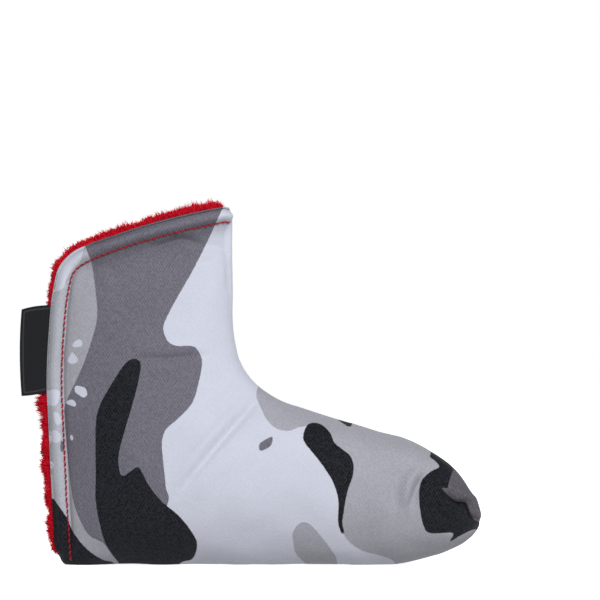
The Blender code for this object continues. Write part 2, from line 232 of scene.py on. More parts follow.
def add_mesh(name, points, faces, material, attributes=(), smooth=True):
    """A mesh object from points and faces: an array of faces, or a list that mixes sizes."""
    points = np.asarray(points, np.float32)
    sizes = [len(face) for face in faces]
    if isinstance(faces, list):
        faces = np.concatenate(faces)
    mesh = bpy.data.meshes.new(name)
    mesh.vertices.add(len(points))
    mesh.vertices.foreach_set("co", points.ravel())
    mesh.loops.add(sum(sizes))
    mesh.loops.foreach_set("vertex_index", faces.astype(np.int32).ravel())
    mesh.polygons.add(len(sizes))
    starts = np.concatenate([[0], np.cumsum(sizes)[:-1]]).astype(np.int32)
    mesh.polygons.foreach_set("loop_start", starts)
    mesh.polygons.foreach_set("use_smooth", np.full(len(sizes), smooth))
    mesh.update(calc_edges=True)
    for key, values in dict(attributes).items():
        set_attribute(mesh, key, values)
    if material is not None:
        mesh.materials.append(material)
    obj = bpy.data.objects.new(name, mesh)
    bpy.context.scene.collection.objects.link(obj)
    return obj


def mirror(points, side):
    """Near-half points as they are, or mirrored to the far half."""
    return points if side == "near" else points * np.array((1, -1, 1))


MERGE_WITHIN = 0.02 * MM


def merged(points, faces, attributes):
    """Points that lie together made one, with their faces and attributes."""
    cells = np.round(points / MERGE_WITHIN).astype(np.int64)
    _, first, index = np.unique(cells, axis=0, return_index=True, return_inverse=True)
    kept = []
    for face in index.reshape(-1)[faces]:
        corners = [v for k, v in enumerate(face) if v != face[k - 1]]
        if len(corners) > 2 and len(set(corners)) == len(corners):
            kept.append(corners)
    return points[first], kept, {k: v[first] for k, v in attributes.items()}


def add_sided(name, side, material, points, faces, attributes):
    """A mesh of near-half points, mirrored with its faces turned over for the far half."""
    points, faces, attributes = merged(points, faces, attributes)
    if side == "far":
        faces = [face[::-1] for face in faces]
    return add_mesh(name, mirror(points, side), faces, material, attributes)


def spaced_along(points, spacing):
    """Evenly spaced samples of a polyline, and their distances along it."""
    run = run_along(points)
    at = np.linspace(0, run[-1], max(int(run[-1] / spacing), 2))
    return sample(at, run, points), at


def smooth_curve(points, per_step=8, closed=False):
    """A Catmull-Rom curve through a few chosen points."""
    p = np.asarray(points, float)
    if closed:
        before, after, then = np.roll(p, 1, 0), np.roll(p, -1, 0), np.roll(p, -2, 0)
    else:
        before = np.vstack([2 * p[0] - p[1], p[:-1]])
        after = np.vstack([p[1:], p[-1]])
        then = np.vstack([p[2:], p[-1], p[-1]])
    u = np.linspace(0, 1, per_step, endpoint=False)[None, :, None]
    a, b, c, d = (x[:, None, :] for x in (before, p, after, then))
    curve = hermite(u, b, (c - a) / 2, c, (d - b) / 2).reshape(-1, p.shape[1])
    return curve if closed else np.vstack([curve[:-per_step], p[-1]])


def distance_to(points, line, closed=False):
    """Distance from 2-D points to a polyline, and how far along it (0 to 1) the nearest is."""
    shape = points.shape[:-1]
    points = points.reshape(-1, 2)
    ends = np.roll(line, -1, 0) if closed else line[1:]
    starts = line if closed else line[:-1]
    best = np.full(len(points), 1e9)
    along = np.zeros(len(points))
    lengths = np.linalg.norm(ends - starts, axis=1)
    run = np.concatenate([[0], np.cumsum(lengths)])
    for k, (a, b) in enumerate(zip(starts, ends)):
        ab = b - a
        u = np.clip(((points - a) @ ab) / max(ab @ ab, 1e-18), 0, 1)
        d = np.hypot(*(points - a - u[:, None] * ab).T)
        nearer = d < best
        best[nearer] = d[nearer]
        along[nearer] = (run[k] + u[nearer] * lengths[k]) / run[-1]
    return best.reshape(shape), along.reshape(shape)


def inside_of(points, ring):
    """Whether 2-D points lie inside a closed ring."""
    found = np.zeros(len(points), bool)
    x, z = points.T
    for (xa, za), (xb, zb) in zip(ring, np.roll(ring, -1, 0)):
        if za != zb:
            crosses = (za > z) != (zb > z)
            found ^= crosses & (x < (xb - xa) * (z - za) / (zb - za) + xa)
    return found


FAR_FROM_PATCH = 6 * MM


def signed_distance(points, ring):
    """Distance to a closed ring, negative inside it, measured no further than needed."""
    low, high = ring.min(0) - FAR_FROM_PATCH, ring.max(0) + FAR_FROM_PATCH
    near = ((points > low) & (points < high)).all(1)
    found = np.full(len(points), FAR_FROM_PATCH)
    if near.any():
        d, _ = distance_to(points[near], ring, closed=True)
        found[near] = np.where(inside_of(points[near], ring), -d, d)
    return found


RIPPLE_WAVES = 7
RIPPLE_PEAK = 3.2  # about what that many waves add up to


def ripple(points, wavelength, seed):
    """Smooth irregular waves between about -1 and 1."""
    draw = np.random.default_rng(seed)
    total = np.zeros(points.shape[:-1])
    for _ in range(RIPPLE_WAVES):
        way = draw.normal(size=3)
        way *= 2 * math.pi / wavelength * draw.uniform(0.7, 1.4) / np.linalg.norm(way)
        total += np.sin(points @ way + draw.uniform(0, 2 * math.pi))
    return total / RIPPLE_PEAK


# ---------------------------------------------------------------------------------------------
# The print: outlines of its patches in millimetres, x and z on the near side.
PATCHES = {
    "mid": [
        [(-64.5, 133.5), (-61.5, 117), (-59.5, 100), (-61, 90.5), (-65.5, 77.5), (-72, 63.5),
         (-72.5, 58), (-71.5, 45), (-69.5, 28), (-66.5, 18.5), (-62.5, 12), (-57, 9), (-49, 2),
         (-32.5, 23), (-32.5, 31.5), (-33.5, 41), (-34, 48.5), (-32.5, 53.5), (-28, 57.5),
         (-22.5, 63.5), (-20, 71), (-18.5, 79.5), (-20, 84), (-22.5, 86), (-28, 86), (-31.5, 87.5),
         (-33.5, 91.5), (-33, 95.5), (-29, 103.5), (-22.5, 115), (-16, 128), (-11, 139),
         (-8.5, 144.5), (-39, 143)],
        [(9, 50.5), (7, 50), (4, 48), (4, 45.5), (5.5, 45.5), (8.5, 47.5)],
        [(-73.8, 48.8), (-72.6, 47.5), (-72.9, 44.5), (-74, 45)],
    ],
    "light": [
        [(-84, 104), (-72, 131), (-60, 131), (-56, 100), (-68, 60), (-66, 28), (-58, 14), (-50, 8),
         (-48, -6), (-74.5, -6), (-85, 45)],
        [(3.4, 70.5), (2.6, 66.5), (4.3, 62), (7, 57), (11, 53.6), (15.5, 53), (20.5, 54.5),
         (25.5, 53), (33.5, 37), (34.5, 25.5), (34.5, 17.5), (36.5, 13), (39, 9.5), (44, 6),
         (51, 4), (56.5, 1.5), (61, -4), (98, -6), (99, 80), (40, 84), (6, 80)],
        [(19.5, 17), (17, 13.5), (17, 10), (18, 5), (21.5, 1), (23.5, -2), (33, -1), (34, 2.5),
         (31.5, 7), (27, 13), (23, 17)],
    ],
    "black": [
        [(-42.5, 79.5), (-45.5, 81), (-49, 78.5), (-54.5, 70), (-58.5, 62.5), (-60, 55),
         (-60, 36.5), (-60, 26), (-58.5, 17), (-56, 8.5), (-51.5, 1), (-49, -4), (-31, -4),
         (-27, 1), (-22.5, 2.5), (-20.5, 7.5), (-21.5, 12), (-27, 19.5), (-34.5, 26), (-39.5, 32.5),
         (-41.5, 36.5), (-43.5, 39), (-46.5, 37), (-49, 35.5), (-50.5, 37), (-51, 43), (-49, 51.5),
         (-45.5, 63.5), (-43, 73.5)],
        [(-84, 32.5), (-78.5, 28), (-72, 19.5), (-69.5, 14), (-64.5, 7.5), (-58, 2.5), (-53, 0.5),
         (-53, -6), (-84, -6)],
        [(25, 56), (22.5, 55), (21, 51.5), (21.5, 48.5), (25.5, 43.5), (30, 37.5), (33, 32),
         (34.7, 25.5), (34.5, 19.5), (34.7, 16.5), (35.8, 13.2), (37, 13.2), (36.2, 17),
         (36.7, 21.5), (38, 29), (40, 35), (40.5, 40), (39, 43.5), (36, 46), (33, 48.5), (31.5, 52),
         (28.5, 55)],
        [(34, 58.5), (34.5, 57), (37.5, 55), (39.5, 54.5), (40.5, 57), (37.5, 59.5)],
        [(70.5, 43.2), (72.5, 41), (74, 38.8), (70.5, 37), (67, 33.5), (66, 28), (66.5, 21.5),
         (68, 15.5), (70.5, 13), (78.5, 13), (79.5, 12), (78.5, 9.5), (83, 12), (88.5, 14),
         (93.5, 12), (94.5, 45), (76, 47)],
    ],
    "spot": [
        [(-69.4, 85.8), (-68.5, 87.5), (-66.7, 88.5), (-65.4, 87.5), (-65.6, 85.9), (-67.6, 85.5)],
        [(-71.3, 80), (-70.2, 82.1), (-69.3, 83.5), (-68.3, 82.4), (-67.1, 80.9), (-67.6, 79.5),
         (-69.6, 78.9)],
        [(-67.9, 70.3), (-64.4, 69.6), (-63.4, 67.1), (-64.7, 65.8), (-66.7, 66.8), (-68.3, 68.3)],
        [(-72.2, 63.7), (-70.5, 64.8), (-69, 64.8), (-67.9, 63.7), (-68.2, 62.2), (-70.2, 62.8)],
        [(-70.2, 50.8), (-69.3, 51), (-68.9, 49.6), (-69.8, 48.9)],
        [(-79.6, 68), (-74.8, 68.6), (-74.5, 65.1), (-76.2, 62.5), (-79.4, 63.4)],
        [(-76.6, 59.9), (-75, 59.7), (-73.6, 56.5), (-75.4, 54.9), (-76.6, 57.6)],
        [(-78.2, 51.5), (-76.4, 53), (-74.2, 51.5), (-74, 49), (-76, 48), (-78, 49)],
        [(-78, 40.5), (-76.5, 39.5), (-77.6, 38)],
        [(-86, 106.5), (-78, 107), (-73.2, 108.4), (-71.6, 112.5), (-69, 116.2), (-66.2, 119.2),
         (-65.4, 122), (-64.7, 125.2), (-64, 131), (-86, 131)],
    ],
    "tip": [
        [(75, 30.5), (77.2, 30.6), (78, 33.5), (79.5, 37), (83, 42), (97, 30), (97, 16), (89.5, 17),
         (86.6, 19.8), (84.6, 24.6), (80, 25.6)],
    ],
}
# The far panel is cut from another place of the same print: the print turned half round.
FAR_PRINT_SUM = np.array((5, 128)) * MM

# Soft folds and dents of each side: a route in x, z (mm), depth (mm, negative stands proud) and
# half width (mm).
FOLDS = {
    "near": [
        ([(-47, 80.8), (-32, 81.2), (-16, 82.4)], 1.1, 1.2),
        ([(-50, 84.8), (-32, 85.2), (-17, 86)], -0.45, 2),
        ([(-50, 77), (-32, 77.4), (-16, 78)], -0.3, 2.6),
        ([(-40, 124.4), (-34, 125.8), (-30, 127),
          (-27, 127.6), (-23, 127.1), (-18, 125.4)], 1.8, 1.4),
        ([(-31, 130.4), (-24, 130.6), (-18, 129.8)], -0.5, 1.3),
        ([(-34, 123.6), (-26, 124.8), (-17, 123.2)], -0.45, 1.6),
        ([(-21, 126), (-14, 125.6), (-8, 124.2)], 0.5, 1.2),
        ([(-22, 118.8), (-14, 118.6), (-8, 117)], 0.25, 1.6),
        ([(5, 67), (-13, 46.8), (-28, 28)], 1.85, 1.8),
        ([(1, 68.2), (-17, 48.8), (-29, 33.4)], -1, 2.1),
        ([(8, 63), (-6, 44), (-22, 26.5)], -0.55, 3.4),
        ([(69, 36.5), (65.4, 31), (62.8, 22.5)], 2.3, 1.6),
        ([(66, 38.4), (61.8, 32.8), (60.2, 23)], -1.8, 2),
        ([(59.6, 38), (56.6, 31), (56.6, 21)], 1.1, 2.8),
        ([(64.8, 40), (58.6, 36.8), (52.5, 35.8)], 0.7, 1.9),
        ([(75, 30.6), (80, 25.4), (84.4, 24.4), (86.2, 19.6), (90.5, 16.8)], 2.6, 0.9),
        ([(77.5, 31.4), (82.2, 27.6), (86.8, 25.4), (88.8, 20.4)], -1.2, 1.2),
        ([(69.5, 34.4), (73.5, 33.4), (76, 30.8)], 1, 1),
        ([(72, 25.4), (77, 21.6), (82.5, 20.4)], -0.9, 1.4),
        ([(73.5, 20.4), (79, 17.6), (85, 15.4)], 1, 1.3),
        ([(71, 16.4), (77, 14.9), (83, 12.6)], 0.8, 1.6),
        ([(79, 34), (82.8, 30.4), (86, 27.2)], 0.7, 0.9),
    ],
    "far": [
        ([(-50, 92), (-34, 90.4), (-14, 93)], 0.6, 1.4),
        ([(-54, 120), (-34, 124.6), (-18, 124)], 0.45, 1.3),
        ([(2, 68.5), (-14, 54), (-36, 36)], 1.05, 2.4),
        ([(8, 62), (-4, 48), (-22, 32)], -0.45, 5),
        ([(60, 44), (57, 33), (58.5, 20)], 0.85, 2.2),
        ([(86, 28), (79, 27), (72, 30.5)], 1.1, 1.1),
        ([(87.5, 20), (80, 18.5), (73, 20.5)], 0.7, 1.2),
        ([(84, 13), (77, 13.5), (70, 10.5)], 0.5, 1.5),
    ],
}


def print_distances(points, side):
    """Signed distance (m) of each point to the union of each kind of patch."""
    xz = points[:, [0, 2]]
    if side == "far":
        xz = FAR_PRINT_SUM - xz
    found = {}
    for kind, rings in PATCHES.items():
        curves = [smooth_curve(np.array(ring) * MM, 6, True) for ring in rings]
        found["print_" + kind] = np.min([signed_distance(xz, curve) for curve in curves], 0)
    return found


# ---------------------------------------------------------------------------------------------
# The grid of the loft, and the open edge: along the top edge from the front corner, round the
# back corner, to the heel.
ROWS = 340
COLUMNS = 150


def stations_by_length(count):
    """Loft parameters spaced evenly along the loft, a third of the way across."""
    t = np.linspace(0, TIP, 4000)
    run = run_along(loft(t, 0.35))
    return np.interp(np.linspace(0, run[-1], count), run, t)


def spread_columns(count):
    """Places across the loft from 0 to 1, closer together towards both edges."""
    turn = np.cos(math.pi * np.linspace(0, 1, count))
    return (1 - np.sign(turn) * np.abs(turn) ** (2 / PROFILE_POWER)) / 2


T_ROWS = stations_by_length(ROWS)
C_COLUMNS = spread_columns(COLUMNS)
OPEN_ROWS = (T_ROWS > 0) & (T_ROWS < CLOSED_FROM)


def rim_line():
    """The open edge's loft parameters, and its points in the XZ plane."""
    top = np.stack([np.zeros(COLUMNS), C_COLUMNS[::-1]], 1)
    back = np.stack([T_ROWS[OPEN_ROWS], np.zeros(OPEN_ROWS.sum())], 1)
    params = np.vstack([top, back])
    return params, loft(*params.T)[:, [0, 2]]


RIM_PARAMS, RIM_XZ = rim_line()


def outward_of(line):
    """Unit normals of the open edge in the XZ plane, pointing away from the cover, smoothed."""
    along = unit(np.gradient(line, axis=0))
    out = np.stack([along[:, 1], -along[:, 0]], 1)
    for _ in range(4):
        out[1:-1] = (out[:-2] + 2 * out[1:-1] + out[2:]) / 4
    return unit(out)


RIM_OUT = outward_of(RIM_XZ)
RIM_PLACE = run_along(RIM_XZ) / run_along(RIM_XZ)[-1]
RIM_COARSE = spaced_along(RIM_XZ, 2 * MM)[0]


# ---------------------------------------------------------------------------------------------
# Materials.


def node(nodes, kind, **settings):
    made = nodes.new(kind)
    for key, value in settings.items():
        setattr(made, key, value)
    return made


class Shader:
    """Short forms for the nodes that the materials share."""

    def __init__(self, name):
        self.material = bpy.data.materials.new(name)
        self.material.use_nodes = True
        self.nodes, self.links = self.material.node_tree.nodes, self.material.node_tree.links
        self.out = self.nodes["Principled BSDF"]

    def fill(self, socket, value):
        """A number or colour set on a socket, or another node's output linked to it."""
        if isinstance(value, (int, float, tuple)):
            socket.default_value = value
        else:
            self.links.new(value, socket)

    def attribute(self, name, output="Fac"):
        return node(self.nodes, "ShaderNodeAttribute", attribute_name=name).outputs[output]

    def place(self):
        return node(self.nodes, "ShaderNodeTexCoord").outputs["Object"]

    def flat_place(self):
        """The cloth's own flat coordinates: across and along."""
        flat = node(self.nodes, "ShaderNodeSeparateXYZ")
        self.fill(flat.inputs[0], self.attribute("cloth", "Vector"))
        return flat.outputs[0], flat.outputs[1]

    def math(self, operation, a, b=0.0):
        made = node(self.nodes, "ShaderNodeMath", operation=operation)
        self.fill(made.inputs[0], a)
        self.fill(made.inputs[1], b)
        return made.outputs[0]

    def times(self, a, b):
        return self.math("MULTIPLY", a, b)

    def mix(self, factor, a, b, blend="MIX"):
        made = node(self.nodes, "ShaderNodeMix", data_type="RGBA", blend_type=blend)
        self.fill(made.inputs[0], factor)
        self.fill(made.inputs[6], a)
        self.fill(made.inputs[7], b)
        return made.outputs[2]

    def noise(self, scale, detail=2.0):
        made = node(self.nodes, "ShaderNodeTexNoise")
        made.inputs["Scale"].default_value = scale
        made.inputs["Detail"].default_value = detail
        self.fill(made.inputs["Vector"], self.place())
        return made.outputs["Fac"]

    def between(self, value, low, high, to_low=0.0, to_high=1.0):
        made = node(self.nodes, "ShaderNodeMapRange", interpolation_type="SMOOTHSTEP")
        for socket, number in zip(made.inputs, (value, low, high, to_low, to_high)):
            self.fill(socket, number)
        return made.outputs[0]

    def bump(self, height, distance, strength=1.0, before=None):
        made = node(self.nodes, "ShaderNodeBump")
        made.inputs["Strength"].default_value = strength
        made.inputs["Distance"].default_value = distance
        self.fill(made.inputs["Height"], height)
        if before is not None:
            self.fill(made.inputs["Normal"], before)
        return made.outputs["Normal"]

    def set(self, **values):
        for name, value in values.items():
            self.fill(self.out.inputs[name.replace("_", " ")], value)


def weave_of(shader, period, slope, part=0.55):
    """Height of a weave from the cloth's own flat coordinates, 0 to 1: two sets of yarn ridges
    that lean slope radians either way from the cloth's width."""
    u, v = shader.flat_place()
    turn = 2 * math.pi / period
    across = shader.times(u, turn * math.cos(slope))
    along = shader.times(v, turn * math.sin(slope))
    one = shader.times(shader.math("SINE", shader.math("ADD", across, along)), part / 2)
    other = shader.math("SINE", shader.math("SUBTRACT", across, along))
    both = shader.math("ADD", one, shader.times(other, (1 - part) / 2))
    return shader.math("ADD", both, 0.5)


WHITE = (0.66, 0.68, 0.79, 1)
LIGHT_GREY = (0.41, 0.41, 0.465, 1)
STRIP_GREY = (0.485, 0.50, 0.56, 1)
MID_GREY = (0.170, 0.163, 0.200, 1)
BLACK = (0.0105, 0.0118, 0.0165, 1)
TIP_GREY = (0.125, 0.115, 0.138, 1)
BARE_YARN = (0.62, 0.62, 0.66, 1)  # undyed yarn that shows between the printed ridges
RUBBED = (0.45, 0.45, 0.48, 1)
EDGE_BLUR = 0.16 * MM
WEAVE_PERIOD = 1.0 * MM
WEAVE_SLOPE = math.radians(31)
WEAVE_CONTRAST = 0.28
BLACK_CONTRAST = 0.60  # the black ink is uneven, so its yarns differ more
HOLE_SHADE = 0.22  # painted shade in the needle holes: how dark they are
BELOW_STITCH_SHADE = 0.70  # painted shade: how dark the cloth is just below the top edge's stitch
# painted shade along the very edge of the hem
HEM_EDGE_SHADE = 0.84


def printed_colour(s):
    """The print's patches, one over another."""
    wander = s.times(s.math("SUBTRACT", s.noise(900), 0.5), 0.35 * MM)

    def within(kind):
        edge = s.math("ADD", s.attribute("print_" + kind), wander)
        return s.between(edge, -EDGE_BLUR, EDGE_BLUR, 1.0, 0.0)

    in_hem = s.between(s.attribute("edge"), STITCH_INSET - EDGE_BLUR, STITCH_INSET, 1.0, 0.0)
    colour = s.mix(within("light"), WHITE, s.mix(in_hem, LIGHT_GREY, STRIP_GREY))
    for kind, ink in (("mid", MID_GREY), ("black", BLACK), ("spot", WHITE), ("tip", TIP_GREY)):
        colour = s.mix(within(kind), colour, ink)
    return colour


def cloth_shade(s, colour, weave):
    """Light and dark of the yarns, more on dark inks, and painted shade at the hem's edge, below
    the top stitch and in the needle holes.
    """
    slub = s.between(s.noise(1300), 0.3, 0.7, -0.85, 0.85)
    texture = s.math("ADD", s.times(s.math("SUBTRACT", weave, 0.5), 1.5), slub)
    tone = node(s.nodes, "ShaderNodeRGBToBW")
    s.fill(tone.inputs[0], colour)
    darkness = s.math("SUBTRACT", 1.0, tone.outputs[0])
    contrast = s.times(s.times(darkness, darkness), WEAVE_CONTRAST)
    contrast = s.math("ADD", contrast, s.between(tone.outputs[0], 0.02, 0.08, BLACK_CONTRAST, 0.0))
    cloudy = s.between(s.noise(45, 3), 0.3, 0.7, 0.975, 1.02)
    shade = s.math("ADD", s.times(texture, contrast), cloudy)
    # painted shade along the hem's very edge
    shade = s.times(shade, s.between(s.attribute("edge"), 0.4 * MM, 2.2 * MM, HEM_EDGE_SHADE, 1.0))
    # painted shade below the top edge's stitch
    shade = s.times(shade, s.between(s.attribute("painted_stitch_shade"), 0.0, 1.0, 1.0, BELOW_STITCH_SHADE))
    # painted shade in the needle holes
    return s.times(shade, s.between(s.attribute("stitch_hole"), 0.0, 1.0, 1.0, HOLE_SHADE))


def cloth_material(name):
    s = Shader(name)
    weave = weave_of(s, WEAVE_PERIOD, WEAVE_SLOPE)
    yarn = weave_of(s, WEAVE_PERIOD / 3, WEAVE_SLOPE, 0.5)
    colour = printed_colour(s)
    grey = node(s.nodes, "ShaderNodeCombineColor")
    shade = cloth_shade(s, colour, weave)
    for socket in grey.inputs[:3]:
        s.fill(socket, shade)
    colour = s.mix(1.0, colour, grey.outputs[0], "MULTIPLY")
    bare = s.times(s.between(yarn, 0.55, 1.0), s.between(s.noise(1200), 0.4, 0.75))
    colour = s.mix(s.times(bare, 0.03), colour, BARE_YARN)
    rub = s.times(s.attribute("rub"), s.between(s.noise(380, 4), 0.45, 0.75))
    colour = s.mix(s.times(rub, 0.22), colour, RUBBED)
    normal = s.bump(weave, 0.12 * MM, 0.5)
    normal = s.bump(yarn, 0.04 * MM, 0.5, normal)
    normal = s.bump(s.noise(1500, 3), 0.10 * MM, 0.35, normal)
    normal = s.bump(s.noise(160, 3), 0.45 * MM, 0.25, normal)
    s.set(
        Base_Color=colour,
        Roughness=s.between(s.noise(700), 0.2, 0.8, 0.70, 0.86),
        Normal=normal,
        Sheen_Weight=0.03,
        Sheen_Roughness=0.45,
        Specular_IOR_Level=0.14,
    )
    return s.material


def plush_material(name):
    s = Shader(name)
    deep = s.between(s.noise(420, 3), 0.3, 0.75)
    s.set(
        Base_Color=s.mix(deep, (0.40, 0.003, 0.011, 1), (0.76, 0.008, 0.028, 1)),
        Roughness=0.9,
        Normal=s.bump(s.noise(1100, 4), 0.5 * MM, 0.8),
        Sheen_Weight=0.05,
        Specular_IOR_Level=0.06,
    )
    return s.material


def pile_material(name):
    """Loose fibres of the pile: painted shade makes them darker towards their roots, lighter
    towards their tips.
    """
    s = Shader(name)
    patchy = s.between(s.noise(260), 0.3, 0.7)
    root = s.mix(patchy, (0.56, 0.004, 0.014, 1), (0.74, 0.007, 0.023, 1))
    colour = s.mix(s.attribute("strand"), root, (0.96, 0.016, 0.046, 1))
    s.set(Base_Color=colour, Roughness=0.8, Specular_IOR_Level=0.06)
    return s.material


def thread_material(name):
    s = Shader(name)
    level = s.between(s.math("SINE", s.attribute("twist")), -1.0, 1.0)
    s.set(
        Base_Color=s.mix(level, (0.22, 0.004, 0.012, 1), (0.52, 0.010, 0.032, 1)),
        Roughness=0.5,
        Normal=s.bump(level, 0.06 * MM, 0.8),
        Sheen_Weight=0.05,
        Specular_IOR_Level=0.2,
    )
    return s.material


def foam_material(name):
    s = Shader(name)
    cells = node(s.nodes, "ShaderNodeTexVoronoi")
    cells.inputs["Scale"].default_value = 1400
    s.fill(cells.inputs["Vector"], s.place())
    open_cell = s.between(cells.outputs["Distance"], 0.0, 0.6)
    s.set(
        Base_Color=s.mix(open_cell, (0.36, 0.355, 0.33, 1), (0.62, 0.61, 0.57, 1)),
        Roughness=0.95,
        Normal=s.bump(open_cell, 0.3 * MM, 0.8),
    )
    return s.material


RIB_PERIOD, YARN_PERIOD = 0.42 * MM, 0.55 * MM  # of the woven label
BORDER_FROM, BORDER_TO = 1.15 * MM, 1.5 * MM  # the label's woven border line, from its edges


def label_material(name):
    s = Shader(name)
    u, v = s.flat_place()
    rib = s.math("SINE", s.times(v, 2 * math.pi / RIB_PERIOD))
    yarn = s.math("SINE", s.times(u, 2 * math.pi / YARN_PERIOD))
    weave = s.math("ADD", s.times(s.math("ADD", rib, yarn), 0.25), 0.5)
    inward = s.attribute("border")
    past_start = s.between(inward, BORDER_FROM - 0.15 * MM, BORDER_FROM)
    before_end = s.between(inward, BORDER_TO, BORDER_TO + 0.15 * MM, 1.0, 0.0)
    line = s.times(past_start, before_end)
    base = s.mix(weave, (0.006, 0.0065, 0.0075, 1), (0.014, 0.0145, 0.017, 1))
    s.set(
        Base_Color=s.mix(s.times(line, 0.8), base, (0.045, 0.045, 0.050, 1)),
        Roughness=s.between(line, 0.0, 1.0, 0.62, 0.42),
        Normal=s.bump(s.noise(500, 3), 0.10 * MM, 0.3, s.bump(weave, 0.08 * MM, 0.6)),
        Specular_IOR_Level=0.12,
    )
    return s.material


def magnet_material(name):
    s = Shader(name)
    wear = s.between(s.noise(300, 4), 0.35, 0.7)
    s.set(
        Base_Color=s.mix(wear, (0.55, 0.55, 0.57, 1), (0.68, 0.68, 0.70, 1)),
        Metallic=1.0,
        Roughness=s.between(s.noise(900, 3), 0.3, 0.7, 0.24, 0.42),
        Normal=s.bump(s.noise(1800), 0.03 * MM, 0.4),
    )
    return s.material


# ---------------------------------------------------------------------------------------------
# The pieces.


def bend(obj):
    """Bakes a piece's placement into its mesh."""
    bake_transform(obj)


# How far the cloth stands in or out, in mm.
SEAM_GROOVE = 0.25  # that the sewn seams sink
SEAM_PUCKER = 0.10
STUFFED_FROM, STUFFED_FULLY = 50 * MM, 66 * MM  # x over which the toe becomes stuffed
PINCH = 0.4  # that the topstitch pulls the cloth in
VALLEY = 2.1  # that the padded body falls to the thinner hem
TOP_VALLEY = 3.0  # the same below the top edge's stitch
MAGNET_FLOOR = -0.75  # how far in the cloth may lie over a magnet
TOP_HEM_SWELL = 1.10
HEM_SWELL = 0.30  # that the hem swells between its edge and the stitch
EDGE_PRESS = 0.35  # that the very edge is pressed down
TOE_SWELL, TIP_SWELL = 1.25, 0.4  # that the stuffed toe stands out, above and at its tip
WAVES = {  # of each side: height, wavelength (m) and seed
    "near": ((0.30, 42 * MM, 11), (0.12, 17 * MM, 21)),
    "far": ((0.30, 42 * MM, 12), (0.12, 17 * MM, 22)),
}

# The cloth simulation.
SIM_ROWS, SIM_COLUMNS = 84, 44
SIM_FRAMES = 20
SIM_START = 0.6 * MM  # the simulation starts this far inside the outer face
SIM_SEEDS = {"near": (51, 52, 53), "far": (61, 62, 63)}
CRUMPLE_CAP = 0.38 * MM
SWELL_CAP = 0.4 * MM


def blurred(grid, passes):
    """A grid of vectors with its small waves smoothed out, its edge values kept."""
    grid = grid.copy()
    for _ in range(passes):
        grid[1:-1] = (grid[:-2] + 2 * grid[1:-1] + grid[2:]) / 4
        grid[:, 1:-1] = (grid[:, :-2] + 2 * grid[:, 1:-1] + grid[:, 2:]) / 4
    return grid


def capped(vectors, most):
    length = np.linalg.norm(vectors, axis=-1, keepdims=True)
    return vectors * np.minimum(1, most / np.maximum(length, 1e-9))


def ripples(points, wavelength, seeds):
    """Three waves that move points along x, y and z."""
    return np.stack([ripple(points, wavelength, seed) for seed in seeds], -1)


def hang_cloth(obj, held):
    """Makes a mesh into cloth that is blown up from inside and held at some points."""
    group = obj.vertex_groups.new(name="held")
    group.add(np.nonzero(held.ravel())[0].tolist(), 1.0, "REPLACE")
    cloth = obj.modifiers.new("settle", "CLOTH")
    settings = cloth.settings
    settings.vertex_group_mass = "held"
    settings.quality = 8
    settings.mass = 0.2
    settings.tension_stiffness = 25
    settings.compression_stiffness = 10
    settings.bending_stiffness = 0.4
    settings.use_pressure = True
    settings.uniform_pressure_force = 4
    settings.effector_weights.gravity = 0
    settings.shrink_min = settings.shrink_max = -0.03
    cloth.collision_settings.use_collision = False


def settled_cloth(side):
    """How far each point of the outer cloth moves when the stuffed cover settles: a cloth
    simulation of one panel, blown up from inside and held at its seams and open edge."""
    t = resampled(T_ROWS, SIM_ROWS)
    t[-1] = TIP - 0.12
    t, c = np.meshgrid(t, resampled(C_COLUMNS, SIM_COLUMNS), indexing="ij")
    start = loft(t, c, SIM_START)
    start += 0.15 * MM * ripples(start, 15 * MM, SIM_SEEDS[side])
    obj = add_mesh(f"{side}_settling", start.reshape(-1, 3), grid_faces(*t.shape), None)
    held = np.zeros(t.shape, bool)
    held[[0, -1]] = held[:, [0, -1]] = True
    hang_cloth(obj, held)
    scene = bpy.context.scene
    for frame_number in range(1, SIM_FRAMES + 1):
        scene.frame_set(frame_number)
    result = obj.evaluated_get(bpy.context.evaluated_depsgraph_get()).to_mesh()
    end = np.empty(len(result.vertices) * 3, np.float32)
    result.vertices.foreach_get("co", end)
    moved = end.reshape(start.shape) - start
    bpy.data.objects.remove(obj)
    scene.frame_set(1)
    swell = blurred(moved, 14)
    crumple = capped(0.5 * blurred(moved - swell, 2), CRUMPLE_CAP)
    return crumple + capped(0.15 * swell, SWELL_CAP)


def to_fine(grid):
    """A coarse grid of vectors brought to the fine grid by smooth steps between its rows."""
    rows = np.linspace(0, len(grid) - 1, ROWS)
    columns = np.linspace(0, grid.shape[1] - 1, COLUMNS)
    i = np.minimum(rows.astype(int), len(grid) - 2)
    j = np.minimum(columns.astype(int), grid.shape[1] - 2)
    u = smoothstep(0, 1, rows - i)[:, None, None]
    v = smoothstep(0, 1, columns - j)[None, :, None]
    near, far = grid[i], grid[i + 1]
    near = near[:, j] * (1 - v) + near[:, j + 1] * v
    far = far[:, j] * (1 - v) + far[:, j + 1] * v
    return near * (1 - u) + far * u


def over_magnet(xz, side):
    """1 over the side's magnets, which hold the cloth out, falling to 0 round them."""
    found = np.zeros(xz.shape[:-1])
    for place in ("upper", "lower"):
        low, high = (np.array(corner)[[0, 2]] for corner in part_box(f"{side}_magnet_{place}"))
        away = np.linalg.norm(xz - (low + high) / 2, axis=-1) - (high - low).max() / 2
        found = np.maximum(found, 1 - smoothstep(0.5 * MM, 4.5 * MM, away))
    return found


def puckers(points, seam):
    """Small gathers along the sewn seams."""
    run = run_along(points[:, -1])[:, None]
    wave = np.sin(2 * math.pi * run / (6.2 * MM) + 1.92 * ripple(points, 30 * MM, 3))
    return SEAM_PUCKER * wave * smoothstep(0.5 * MM, 3 * MM, seam) * np.exp(-seam / (5 * MM))


def brow_of(from_stitch):
    """1 below the topstitch, falling to 0 in the hem above it."""
    return bell(np.minimum(from_stitch, 0), 1.7)


